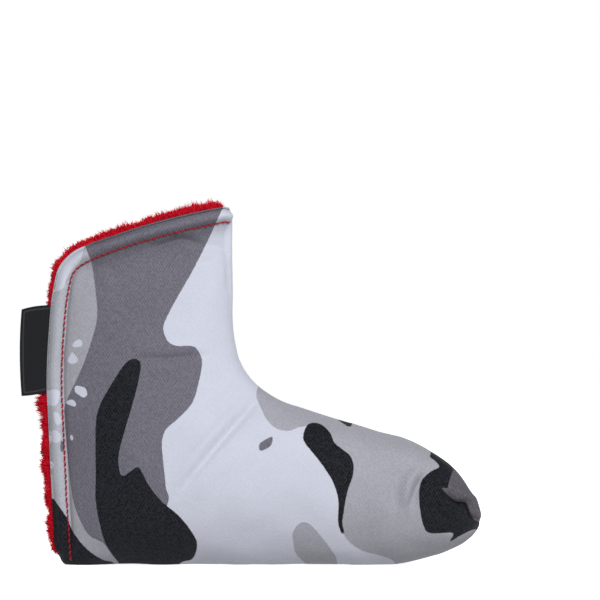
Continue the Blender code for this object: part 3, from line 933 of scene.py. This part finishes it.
def sewn_in(from_stitch, upright):
    """How far the cloth falls in at and below the topstitch, from its distance in mm."""
    below, brow = np.maximum(from_stitch, 0), brow_of(from_stitch)
    side = VALLEY * brow * (0.45 * np.exp(-below / 2.2) + 0.55 * np.exp(-below / 7.0))
    top = TOP_VALLEY * brow * (1.0 - 0.78 * np.exp(-below / 2.6)) * bell(below, 26)
    return PINCH * bell(from_stitch, 0.9) + side + (top - side) * upright


def folded_in(xz, side):
    """How far the soft folds and dents push the cloth in."""
    found = np.zeros(xz.shape[:-1])
    for route, depth, width in FOLDS[side]:
        away, place = distance_to(xz, smooth_curve(np.array(route) * MM))
        ends = np.sin(math.pi * np.clip(place, 0.02, 0.98)) ** 0.6
        found += depth * ends * bell(away, width * MM)
    return found


def lift_of(side, base, edge, seam, from_front, opened, upright):
    """How far each point of the outer cloth stands out from the plain form, in mm."""
    from_stitch = (edge - STITCH_INSET) / MM
    waves = sum(height * ripple(base, wide, seed) for height, wide, seed in WAVES[side])
    lift = puckers(base, seam)
    lift += np.minimum(smoothstep(5 * MM, 16 * MM, edge) + 1 - opened, 1) * waves
    lift -= opened * sewn_in(from_stitch, upright) * smoothstep(0, 5 * MM, from_front)
    swell = HEM_SWELL + (TOP_HEM_SWELL - HEM_SWELL) * upright
    lift += opened * (swell * bell(edge / MM - 3.2, 1.7) - EDGE_PRESS * bell(edge, 1.0 * MM))
    lift = lift * smoothstep(-0.5 * MM, 3.5 * MM, seam) - folded_in(base[..., [0, 2]], side)
    lift += over_magnet(base[..., [0, 2]], side) * (np.maximum(lift, MAGNET_FLOOR) - lift)
    free = 1 - np.exp(-np.minimum(seam, edge + 2 * MM) / (1.2 * MM))
    held = free + 0.3 * (1 - free) * smoothstep(1.0, 2.0, -lift)
    lift = lift * held - SEAM_GROOVE * np.exp(-((seam / (0.8 * MM)) ** 1.5))
    stuffed = TIP_SWELL + (TOE_SWELL - TIP_SWELL) * smoothstep(20 * MM, 36 * MM, base[..., 2])
    return lift + stuffed * smoothstep(STUFFED_FROM, STUFFED_FULLY, base[..., 0])


def flat_places(from_back, from_front):
    """Where each point lies on the cloth laid flat: from the middle of its row to the sides."""
    chord = unit((loft(T_ROWS, 1.0) - loft(T_ROWS, 0.0))[:, [0, 2]])
    middle = loft(T_ROWS, 0.5)[:, [0, 2]]
    return middle[:, None, :] + chord[:, None, :] * ((from_back - from_front) / 2)[..., None]


def hem_radius(points, opened):
    """Radius of the turned edge, which runs out where the edge meets the other half."""
    return HEM_THICKNESS / 2 * opened * smoothstep(0, 2.5 * MM, np.abs(points[..., 1]) + 0.4 * MM)


def outer_grid(side):
    """The outer cloth's main sheet as near-half points, with what its material reads."""
    t, c = np.meshgrid(T_ROWS, C_COLUMNS, indexing="ij")
    base = loft(t, c)
    across = np.linalg.norm(np.diff(base, axis=1), axis=2)
    from_back = np.concatenate([np.zeros((ROWS, 1)), np.cumsum(across, 1)], 1)
    from_front = from_back[:, -1:] - from_back
    normal = unit(np.cross(np.gradient(base, axis=0), np.gradient(base, axis=1)))
    base = base + to_fine(settled_cloth(side))
    edge, place = distance_to(base[..., [0, 2]], RIM_COARSE)
    out = sample(place, RIM_PLACE, RIM_OUT)
    opened = openness(t)
    upright = smoothstep(0.6, 0.95, out[..., 1])
    seam = np.minimum(from_front, np.where(opened > 0.5, 1.0, from_back))
    lift = lift_of(side, base, edge, seam, from_front, opened, upright)
    points = base + normal * (lift * MM)[..., None]
    tuck = hem_radius(base, opened) * np.exp(-edge / (3 * MM))
    points[..., [0, 2]] -= out * tuck[..., None]
    points[..., 2] = np.maximum(points[..., 2], 0.05 * MM)
    points[..., 1] = np.minimum(points[..., 1], 0)
    from_stitch = (edge - STITCH_INSET) / MM
    # painted shade of the valley below the top edge's stitch, darkest close under it
    painted_stitch_shade = opened * upright * brow_of(from_stitch) * np.exp(-np.maximum(from_stitch, 0) / 4.5)
    painted_stitch_shade *= smoothstep(0, 6 * MM, from_front)
    return points, flat_places(from_back, from_front), edge, seam, painted_stitch_shade


HEM_TURNS = 5  # rows that carry the cloth round its edge
HEM_INWARD = (1.5 * MM, 4.0 * MM)  # how far inside the edge its last rows lie


def hem_rows(points, flat):
    """The turned edge: rows that carry the sheet round its open edge and back inside."""
    open_rows = T_ROWS[1:] < CLOSED_FROM
    line = np.vstack([points[0, ::-1], points[1:, 0][open_rows]])
    flat_line = np.vstack([flat[0, ::-1], flat[1:, 0][open_rows]])
    opened = np.concatenate([np.ones(COLUMNS), openness(T_ROWS[1:][open_rows])])
    radius = hem_radius(line, opened)
    rows, flats = [line], [flat_line]
    for turn in np.linspace(math.pi / HEM_TURNS, math.pi, HEM_TURNS):
        row = line.copy()
        row[:, 1] += radius * (1 - math.cos(turn))
        row[:, [0, 2]] += RIM_OUT * (radius * math.sin(turn))[:, None]
        rows.append(row)
        flats.append(flat_line + RIM_OUT * (radius * turn)[:, None])
    inside = opened * smoothstep(0.5 * MM, 5 * MM, np.abs(line[:, 1]))
    for inward in HEM_INWARD:
        row = rows[HEM_TURNS].copy()
        row[:, [0, 2]] -= RIM_OUT * (inward * inside)[:, None]
        rows.append(row)
        flats.append(flat_line + RIM_OUT * (radius * math.pi + inward * opened)[:, None])
    rows = np.array(rows)
    rows[..., 1] = np.minimum(rows[..., 1], -0.05 * MM)
    return rows, np.array(flats)


STITCH_PITCH = 2.3 * MM
STITCH_LENGTH = 2.05 * MM
STITCH_RADIUS = 0.37 * MM
STITCH_SIDES, STITCH_RINGS = 7, 8
STITCH_DIVE, STITCH_RISE = -0.32, 0.62  # mm: its middle line at its ends, and up from there
TWIST_PITCH = 0.55 * MM
FIRST_STITCH = 0.3 * MM  # where it begins along the path
STITCH_START = np.array((-7.6, 134.6)) * MM
STITCH_END = np.array((-69.9, 0.9)) * MM


def stitch_path():
    """The topstitch in the XZ plane: 6 mm inside the open edge, evenly spaced."""
    t, c = RIM_PARAMS.T
    inset = RIM_XZ - RIM_OUT * STITCH_INSET
    past_corner = (t > 0.6) | (t == 0) & (c > 0.11)
    line = np.vstack([STITCH_START, inset[past_corner & (inset[:, 1] > 14 * MM)], STITCH_END])
    for _ in range(30):
        line[1:-1] = (line[:-2] + 2 * line[1:-1] + line[2:]) / 4
    return spaced_along(line, 0.2 * MM)


STITCH_XZ, STITCH_RUN = stitch_path()


def stitch_holes(points):
    """1 where the needle went through, falling to 0 half a millimetre away."""
    xz = points[:, [0, 2]]
    found = np.zeros(len(points))
    starts = np.arange(FIRST_STITCH, STITCH_RUN[-1] - STITCH_LENGTH, STITCH_PITCH)
    places = np.concatenate([starts - 0.1 * MM, starts + STITCH_LENGTH + 0.1 * MM])
    near = np.nonzero(distance_to(xz, STITCH_XZ[::5])[0] < 1.5 * MM)[0]
    for hole in sample(places, STITCH_RUN, STITCH_XZ):
        d = np.hypot(*(xz[near] - hole).T)
        found[near] = np.maximum(found[near], bell(d, 0.45 * MM))
    return found


def make_outer(side, material):
    points, flat, edge, seam, painted_stitch_shade = outer_grid(side)
    hem, hem_flat = hem_rows(points, flat)
    sheet = points.reshape(-1, 3)
    points = np.vstack([sheet, hem.reshape(-1, 3)])
    faces = np.vstack([
        grid_faces(ROWS, COLUMNS),
        grid_faces(*hem.shape[:2], len(sheet))[:, ::-1],
    ])
    cloth = np.vstack([flat.reshape(-1, 2), hem_flat.reshape(-1, 2)])
    printed_at = np.vstack([sheet, np.tile(hem[0], (len(hem), 1))])
    on_hem = np.zeros(hem[..., 0].size)
    seam = np.concatenate([seam.ravel(), on_hem + 1.0])
    toe = smoothstep(70 * MM, 90 * MM, points[:, 0])
    attributes = dict(
        print_distances(printed_at, side),
        cloth=np.column_stack([cloth, np.zeros(len(cloth))]),
        edge=np.concatenate([edge.ravel(), on_hem]),
        painted_stitch_shade=np.concatenate([painted_stitch_shade.ravel(), on_hem]),
        stitch_hole=stitch_holes(points),
        rub=np.exp(-seam / (2.5 * MM)) * 0.5 + 0.7 * toe * np.exp(-seam / (6 * MM)),
    )
    obj = add_sided(f"{side}_outer_cloth", side, material, points, faces, attributes)
    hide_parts(f"{side}_outer_panel", f"{side}_outer_flap")
    return obj


def surface_tree(obj):
    mesh = obj.data
    corners = [p.vertices[:] for p in mesh.polygons]
    return BVHTree.FromPolygons([v.co for v in mesh.vertices], corners)


def on_surface(tree, xz, side):
    """Points and outward normals where lines across the cover meet its outer cloth."""
    sign = -1 if side == "near" else 1
    points, normals = [], []
    for x, z in xz:
        start = Vector((x, sign * 0.2, z))
        place, normal, _, _ = tree.ray_cast(start, Vector((0, -sign, 0)))
        if place is None:
            place, normal, _, _ = tree.find_nearest(Vector((x, 0, z)))
        if normal.y * sign < 0:
            normal = -normal
        points.append(place)
        normals.append(normal)
    return np.array(points), np.array(normals)


def tube_faces(rings, sides):
    """Faces of a closed tube whose rings of points follow one another."""
    faces = []
    for k in range(0, (rings - 1) * sides, sides):
        for j in range(sides):
            n = (j + 1) % sides
            faces.append((k + j, k + sides + j, k + sides + n, k + n))
    last = (rings - 1) * sides
    return faces + [range(sides), range(last + sides - 1, last - 1, -1)]


def stitch_rings(at, run, surface, normals):
    """Rings of points of one stitch, which dives into the cloth at its ends."""
    u = np.linspace(0, 1, STITCH_RINGS)
    centre = sample(at, run, surface)
    up = unit(sample(at, run, normals))
    beside = unit(np.cross(unit(np.gradient(centre, axis=0)), up))
    height = (STITCH_DIVE + STITCH_RISE * np.sin(math.pi * u) ** 0.55) * MM
    lean = (0.10 * np.sin(math.pi * (u - 0.5)) + 0.05 * rng.normal()) * MM
    centre = centre + up * height[:, None] + beside * lean[:, None]
    thick = STITCH_RADIUS * (0.72 + 0.28 * np.sin(math.pi * u) ** 0.5)[:, None, None]
    turns = (2 * math.pi * np.arange(STITCH_SIDES) / STITCH_SIDES)[None, :, None]
    ring = up[:, None] * np.cos(turns) + beside[:, None] * np.sin(turns)
    twist = 2 * turns[..., 0] + 2 * math.pi * at[:, None] / TWIST_PITCH
    return (centre[:, None] + ring * thick).reshape(-1, 3), twist.ravel()


def make_stitches(side, tree, material):
    """Separate short stitches, each a twisted thread that dives into the cloth at its ends."""
    run = STITCH_RUN[::2]
    surface, normals = on_surface(tree, STITCH_XZ[::2], side)
    pattern = tube_faces(STITCH_RINGS, STITCH_SIDES)
    points, faces, twist = [], [], []
    start = FIRST_STITCH
    while start + STITCH_LENGTH < run[-1]:
        first = len(points) * STITCH_RINGS * STITCH_SIDES
        at = start + np.linspace(0, 1, STITCH_RINGS) * STITCH_LENGTH
        rings, turned = stitch_rings(at, run, surface, normals)
        points.append(rings)
        twist.append(turned)
        faces += [[first + v for v in face] for face in pattern]
        start += STITCH_PITCH
    twist = {"twist": np.concatenate(twist)}
    obj = add_mesh(f"{side}_topstitches", np.vstack(points), faces, material, twist)
    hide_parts(f"{side}_topstitch")
    bend(obj)
    return obj


def layer_places(rows, columns):
    return np.meshgrid(resampled(T_ROWS, rows), spread_columns(columns), indexing="ij")


def add_layer(name, side, material, sheets):
    """A closed thick layer of the sandwich between its outside and inside grids of points."""
    for sheet in sheets:
        sheet[..., 1] = np.minimum(sheet[..., 1], -0.05 * MM)
        sheet[..., 2] = np.maximum(sheet[..., 2], 0.6 * MM)
    points = np.vstack([sheet.reshape(-1, 3) for sheet in sheets])
    return add_sided(name, side, material, points, layer_faces(*sheets[0].shape[:2]), {})


def make_foam(side, material):
    t, c = layer_places(90, 40)
    t = np.maximum(t, FOAM_TOP)
    width = np.linalg.norm(loft(t[:, 0], 1.0) - loft(t[:, 0], 0.0), axis=1)
    back = FOAM_HELD_BACK / np.maximum(width, MM) * (1 - smoothstep(6, 8, t[:, 0]))
    c = c + back[:, None] * (1 - c) ** 4
    edge, _ = distance_to(loft(t, c)[..., [0, 2]], RIM_COARSE)
    outside = FOAM_OUTSIDE + FOAM_NEAR_RIM * (1 - smoothstep(14 * MM, 36 * MM, edge))
    sheets = [loft(t, c, depth) for depth in (outside, FOAM_INSIDE)]
    obj = add_layer(f"{side}_foam_sheet", side, material, sheets)
    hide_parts(f"{side}_foam_pad", f"{side}_foam_flap")
    bend(obj)
    return obj


BACKING_REACH = 0.5  # share of the pile's own reach past the open edge
BACKING_RUFFLE = 0.25 * MM


def make_lining(side, material):
    t, c = layer_places(190, 80)
    plain = loft(t, c)
    edge, _ = distance_to(plain[..., [0, 2]], RIM_COARSE)
    outside = LINING_RIM + (LINING_OUTSIDE - LINING_RIM) * smoothstep(0.5 * MM, 4 * MM, edge)
    tufted = 0.72 + 0.3 * ripple(plain, 5 * MM, 43)
    share = BACKING_REACH * tufted * np.exp(-edge / (1.6 * MM)) * openness(t)
    sheets = []
    for depth in (outside, LINING_INSIDE):
        sheet = loft(t, c, depth)
        _, place = distance_to(sheet[..., [0, 2]], RIM_XZ)
        reach = share * stand_at(t, c, sheet[..., 2])
        sheet[..., [0, 2]] += sample(place, RIM_PLACE, RIM_OUT) * reach[..., None]
        sheets.append(sheet + BACKING_RUFFLE * ripples(sheet, 4 * MM, (31, 32, 33)))
    obj = add_layer(f"{side}_plush_backing", side, material, sheets)
    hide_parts(f"{side}_plush_lining", f"{side}_plush_flap")
    bend(obj)
    return obj


STRAND_PLACES = (0.0, 0.4, 0.75)  # of a fibre's rings, from its root to its tip


def strand_mesh(name, roots, tips, widths, material):
    """Tapered curved fibres from roots to tips, three-sided, in one mesh."""
    count = len(roots)
    ways = tips - roots
    lengths = np.linalg.norm(ways, axis=1)[:, None]
    side = unit(np.cross(ways, rng.normal(size=(count, 3))))
    other = np.cross(ways, side) / lengths
    bow = side * rng.normal(0, 0.13, (count, 1)) + other * rng.normal(0, 0.13, (count, 1))
    parts = []
    for u in STRAND_PLACES:
        centre = roots + ways * u + bow * lengths * math.sin(math.pi * u)
        wide = widths * (1 - 0.55 * u)
        for turn in 2 * math.pi * np.arange(3) / 3:
            parts.append(centre + (side * math.cos(turn) + other * math.sin(turn)) * wide[:, None])
    points = np.stack(parts + [tips], 1).reshape(-1, 3)
    per = len(parts) + 1
    pattern = []
    for k in range(0, per - 4, 3):
        for j in range(3):
            n = (j + 1) % 3
            pattern.append((k + j, k + n, k + 3 + n))
            pattern.append((k + j, k + 3 + n, k + 3 + j))
    pattern += [(per - 4 + j, per - 4 + (j + 1) % 3, per - 1) for j in range(3)]
    faces = (np.array(pattern)[None] + (np.arange(count) * per)[:, None, None]).reshape(-1, 3)
    # painted shade: each fibre's colour darker towards its root, by a random amount for each fibre
    along = np.tile(np.append(np.repeat(STRAND_PLACES, 3), 1.0), count)
    shade = along * np.repeat(rng.uniform(0.35, 1.0, count), per)
    return add_mesh(name, points, faces, material, {"strand": shade})


# The label: a ribbon folded in two, whose ends are sewn behind the near panel's back edge.
LABEL_END = -90.2 * MM
LABEL_ROOT = -74.6 * MM
LABEL_SEWN = 4.5 * MM  # of the ribbon, behind the panel
LABEL_FREE = 11 * MM
LABEL_LOW, LABEL_HIGH = 67.9 * MM, 101.9 * MM
LABEL_Y = -5.65 * MM
LABEL_PLY = 0.42 * MM
LABEL_FOLD = 0.40 * MM  # half the distance between the middles of the two plies
LABEL_SLANT = 0.15
LABEL_CURL, LABEL_BOW = 0.35 * MM, 0.75 * MM

# How far the pile stands past the open edge: down the back edge by height, and along the top
# edge by the share from the back corner to the front seam. Millimetres.
STAND_BACK = (
    (4, 0), (7, 1.2), (12, 2.0), (18, 2.9), (22, 1.7), (26, 2.8), (36, 3.1), (44, 3.4),
    (47, 2.3), (51, 2.8), (60, 3.3), (66, 3.9), (72, 2.0), (98, 1.4), (103, 1.7), (118, 2.1),
)
STAND_TOP = (
    (0, 2.2), (0.2, 2.5), (0.5, 2.8), (0.75, 3.3), (0.88, 3.2), (0.93, 2.0), (0.955, 0),
)


def stand_at(t, c, z):
    """How far the pile stands past the open edge at its loft parameters and height, metres."""
    back = np.interp(z / MM, *np.array(STAND_BACK).T)
    top = np.interp(c, *np.array(STAND_TOP).T)
    return np.where(t > 0, back, top) * MM


FIBRES_PER_TUFT = 9
TUFTS_PER_MM = 7.0
TUFT_SEEDS = {"near": 41, "far": 42}
FIBRE_WIDTH = (0.13, 0.24)  # mm
BEHIND_LABEL = 3.6 * MM  # pile less deep than this would stand in the label
LABEL_CLEAR = 2 * MM


def make_fringe(side, material):
    """Pile that stands out of the open edges, in tufts whose fibres meet at their tips."""
    line, run = spaced_along(RIM_XZ, 0.5 * MM)
    _, place = distance_to(line, RIM_XZ)
    params = sample(place, RIM_PLACE, RIM_PARAMS)
    tufts = int(run[-1] / MM * TUFTS_PER_MM)
    k = rng.integers(0, len(line), tufts)
    t, c = params[k].T
    line, out = line[k], outward_of(line)[k]
    share = rng.uniform(0, 1, tufts) ** 1.7
    depth = LINING_RIM + share * (LINING_INSIDE - LINING_RIM)
    roots = loft(t, c, depth)
    roots[:, [0, 2]] = line - out * rng.uniform(0.2, 1.4, tufts)[:, None] * MM
    wave = ripple(np.column_stack([line, depth]), 6 * MM, TUFT_SEEDS[side])
    height = stand_at(t, c, line[:, 1])
    height = height * np.clip(0.84 + 0.36 * wave + rng.normal(0, 0.20, tufts), 0.3, 1.6)
    lean = np.stack([-out[:, 1], out[:, 0]], 1) * rng.normal(0, 0.85, tufts)[:, None] * MM
    tips = roots.copy()
    tips[:, [0, 2]] = line + out * height[:, None] + lean
    tips[:, 1] += (share - 0.35) * 1.6 * MM + rng.normal(0, 0.5, tufts) * MM
    count = tufts * FIBRES_PER_TUFT
    root = np.repeat(roots, FIBRES_PER_TUFT, 0) + rng.normal(0, 0.50 * MM, (count, 3))
    tip = np.repeat(tips, FIBRES_PER_TUFT, 0) + rng.normal(0, 0.24 * MM, (count, 3))
    tip += (tip - root) * rng.uniform(-0.40, 0.10, (count, 1))
    wide = rng.uniform(*FIBRE_WIDTH, count) * MM
    at_label = (line[:, 1] > LABEL_LOW - LABEL_CLEAR) & (line[:, 1] < LABEL_HIGH + LABEL_CLEAR)
    behind_label = at_label & (t > 0) & (depth < BEHIND_LABEL)
    keep = np.repeat((height > 0.25 * MM) & ~behind_label, FIBRES_PER_TUFT)
    for end in (root, tip):
        end[:, 1] = np.minimum(end[:, 1], -0.1 * MM)
        end[:, 2] = np.maximum(end[:, 2], 1.0 * MM)
    ends = (mirror(end[keep], side) for end in (root, tip))
    obj = strand_mesh(f"{side}_plush_fringe", *ends, wide[keep], material)
    bend(obj)
    return obj


PILE_COUNT = 7000
PILE_TRIES = 4 * PILE_COUNT
PILE_REACH = 26 * MM  # how far in from the open edge it thins out
PILE_LENGTH, PILE_WIDTH = (1.8, 3.2), (0.22, 0.42)  # mm


def make_pile(side, material):
    """Short pile on the inside of the lining, as far in as the mouth shows it."""
    t = rng.uniform(0, 9.6, PILE_TRIES)
    c = rng.uniform(0, 0.97, PILE_TRIES)
    edge, _ = distance_to(loft(t, c)[:, [0, 2]], spaced_along(RIM_XZ, 3 * MM)[0])
    keep = rng.uniform(size=len(t)) < np.exp(-edge / PILE_REACH)
    t, c = t[keep][:PILE_COUNT], c[keep][:PILE_COUNT]
    roots = loft(t, c, LINING_INSIDE - 0.3 * MM)
    ways = unit(loft(t, c, LINING_INSIDE + 2 * MM) - roots)
    ways = ways + rng.normal(0, 0.55, ways.shape)
    ways[:, 1] = np.maximum(ways[:, 1], 0.25)
    room = np.maximum(-roots[:, 1], 0.5 * MM)
    lengths = np.minimum(rng.uniform(*PILE_LENGTH, len(t)) * MM, room * 0.95)
    wide = rng.uniform(*PILE_WIDTH, len(t)) * MM
    ends = (mirror(end, side) for end in (roots, roots + unit(ways) * lengths[:, None]))
    obj = strand_mesh(f"{side}_plush_pile", *ends, wide, material)
    bend(obj)
    return obj


def ribbon_path():
    """The middle of the folded ribbon's two plies, out from its root and back, in x and y."""
    straight = np.linspace(LABEL_ROOT, LABEL_END + LABEL_FOLD + LABEL_PLY / 2, 26)
    arc = np.linspace(0, math.pi, 9)[1:-1]
    x = np.concatenate([straight, straight[-1] - LABEL_FOLD * np.sin(arc), straight[::-1]])
    ply = np.full(len(straight), LABEL_FOLD)
    return np.stack([x, np.concatenate([-ply, -LABEL_FOLD * np.cos(arc), ply])], 1)


def draped(x, y, z):
    """The ribbon's points with the soft bends of its free part."""
    away = np.clip((LABEL_ROOT - LABEL_SEWN - x) / LABEL_FREE, 0, 1)
    up = (z - LABEL_LOW) / (LABEL_HIGH - LABEL_LOW)
    y = y + LABEL_Y + (0.5 * np.sin(2.6 * up + 0.4) - 0.35) * MM * away
    y += 0.12 * MM * np.sin(9 * up + 5 * away) * away
    slant = LABEL_SLANT * (x - LABEL_ROOT + LABEL_SEWN) * (away > 0)
    curl = LABEL_CURL * np.sin(math.pi * away) * (2 * up - 1)
    bow = LABEL_BOW * (1 - 4 * up * (1 - up)) * away**2
    return np.stack([x + bow, y, z + slant + curl], -1)


def make_label(material):
    path = ribbon_path()
    step = unit(np.gradient(path, axis=0))
    across = np.stack([step[:, 1], -step[:, 0]], 1)
    heights = np.linspace(LABEL_LOW, LABEL_HIGH, 70)
    from_ends = np.minimum(heights - LABEL_LOW, LABEL_HIGH - heights)
    run, z = np.meshgrid(run_along(path), heights, indexing="ij")
    shape = z.shape
    sheets, border = [], []
    for sign in (1, -1):
        x, y = (path + across * sign * LABEL_PLY / 2).T[:, :, None]
        sheets.append(draped(np.broadcast_to(x, shape), y, z).reshape(-1, 3))
        border.append(np.minimum(from_ends, x - LABEL_END).ravel())
    cloth = np.tile(np.stack([run, z, np.zeros(shape)], -1).reshape(-1, 3), (2, 1))
    attributes = {"cloth": cloth, "border": np.concatenate(border)}
    faces = layer_faces(*shape)[:, ::-1]
    obj = add_mesh("label_ribbon", np.vstack(sheets), faces, material, attributes)
    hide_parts("label_tab", "label_seam_allowance")
    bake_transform(obj)
    return obj


# ---------------------------------------------------------------------------------------------
# The studio.
VIEW_WIDTH = 235.3 * MM  # width of the picture at the cover
VIEW_CENTRE = (19.7 * MM, 103.9 * MM)  # x and z at the middle of the picture
CAMERA_AWAY = 2.0
COVER_FRONT = -5 * MM  # y of the part of the cover that the width is measured at
FLOOR_HALF = 6.0

# The light all round: white at the horizon, dimmer overhead, and dim below.
AIR_STOPS = (0.44, 0.49, 0.57, 0.68)  # 0 is straight down, 0.5 the horizon, 1 straight up
AIR_LEVELS = (0.37, 1.0, 1.0, 0.22)
KEY_PLACE, BACK_PLACE = (0.44, -1.48, 1.02), (-0.44, 1.48, 1.02)
KEY_SIZE = 0.55
KEY_POWER, BACK_POWER = 19.7, 11.0
LIGHTS_AT = (0.0, 0.0, 0.06)


def add_to_scene(name, data):
    obj = bpy.data.objects.new(name, data)
    bpy.context.scene.collection.objects.link(obj)
    return obj


def make_camera():
    data = bpy.data.cameras.new("camera")
    data.lens = data.sensor_width * CAMERA_AWAY / VIEW_WIDTH
    data.clip_end = 50
    camera = add_to_scene("camera", data)
    camera.location = (VIEW_CENTRE[0], COVER_FRONT - CAMERA_AWAY, VIEW_CENTRE[1])
    camera.rotation_euler = (math.pi / 2, 0, 0)
    bpy.context.scene.camera = camera


def make_light(name, place, power):
    data = bpy.data.lights.new(name, "AREA")
    data.shape = "SQUARE"
    data.size = KEY_SIZE
    data.energy = power
    light = add_to_scene(name, data)
    light.location = place
    way = Vector(LIGHTS_AT) - Vector(place)
    light.rotation_euler = way.to_track_quat("-Z", "Y").to_euler()


def make_stage():
    s = Shader("studio_paper")
    s.set(
        Base_Color=(0.93, 0.93, 0.93, 1), Roughness=0.95, Specular_IOR_Level=0.0,
        Emission_Color=(1, 1, 1, 1), Emission_Strength=0.75,
    )
    corners = [(x * FLOOR_HALF, y * FLOOR_HALF, 0) for x, y in ((-1, -1), (1, -1), (1, 1), (-1, 1))]
    floor = add_mesh("studio_floor", corners, [(0, 1, 2, 3)], s.material, smooth=False)
    floor.visible_diffuse = False
    make_air()
    make_light("key_softbox", KEY_PLACE, KEY_POWER)
    make_light("back_softbox", BACK_PLACE, BACK_POWER)
    bpy.context.scene.view_settings.view_transform = "Standard"


def make_air():
    world = bpy.data.worlds.new("studio_air")
    world.use_nodes = True
    nodes, links = world.node_tree.nodes, world.node_tree.links
    way = node(nodes, "ShaderNodeSeparateXYZ")
    height = node(nodes, "ShaderNodeMapRange")
    ramp = node(nodes, "ShaderNodeValToRGB")
    height.inputs["From Min"].default_value = -1.0
    links.new(node(nodes, "ShaderNodeTexCoord").outputs["Generated"], way.inputs[0])
    links.new(way.outputs[2], height.inputs[0])
    links.new(height.outputs[0], ramp.inputs[0])
    links.new(ramp.outputs[0], nodes["Background"].inputs["Color"])
    elements = ramp.color_ramp.elements
    for place in AIR_STOPS[2:]:
        elements.new(place)
    for element, place, level in zip(elements, AIR_STOPS, AIR_LEVELS):
        element.position = place
        element.color = (level, level, level, 1)
    bpy.context.scene.world = world


def build():
    cloth = cloth_material("printed_twill")
    backing = plush_material("plush_backing_red")
    pile = pile_material("plush_pile_red")
    thread = thread_material("red_thread")
    foam = foam_material("open_cell_foam")
    magnet = magnet_material("nickel_plate")
    for side in ("near", "far"):
        outer = make_outer(side, cloth)
        stitches = make_stitches(side, surface_tree(outer), thread)
        bend(outer)
        pad = make_foam(side, foam)
        lining = make_lining(side, backing)
        plush = [make_fringe(side, pile), make_pile(side, pile)]
        for place in ("upper", "lower"):
            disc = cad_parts[f"{side}_magnet_{place}"]
            disc.data.materials.clear()
            disc.data.materials.append(magnet)
    make_label(label_material("woven_black_ribbon"))
    make_stage()
    make_camera()


build()
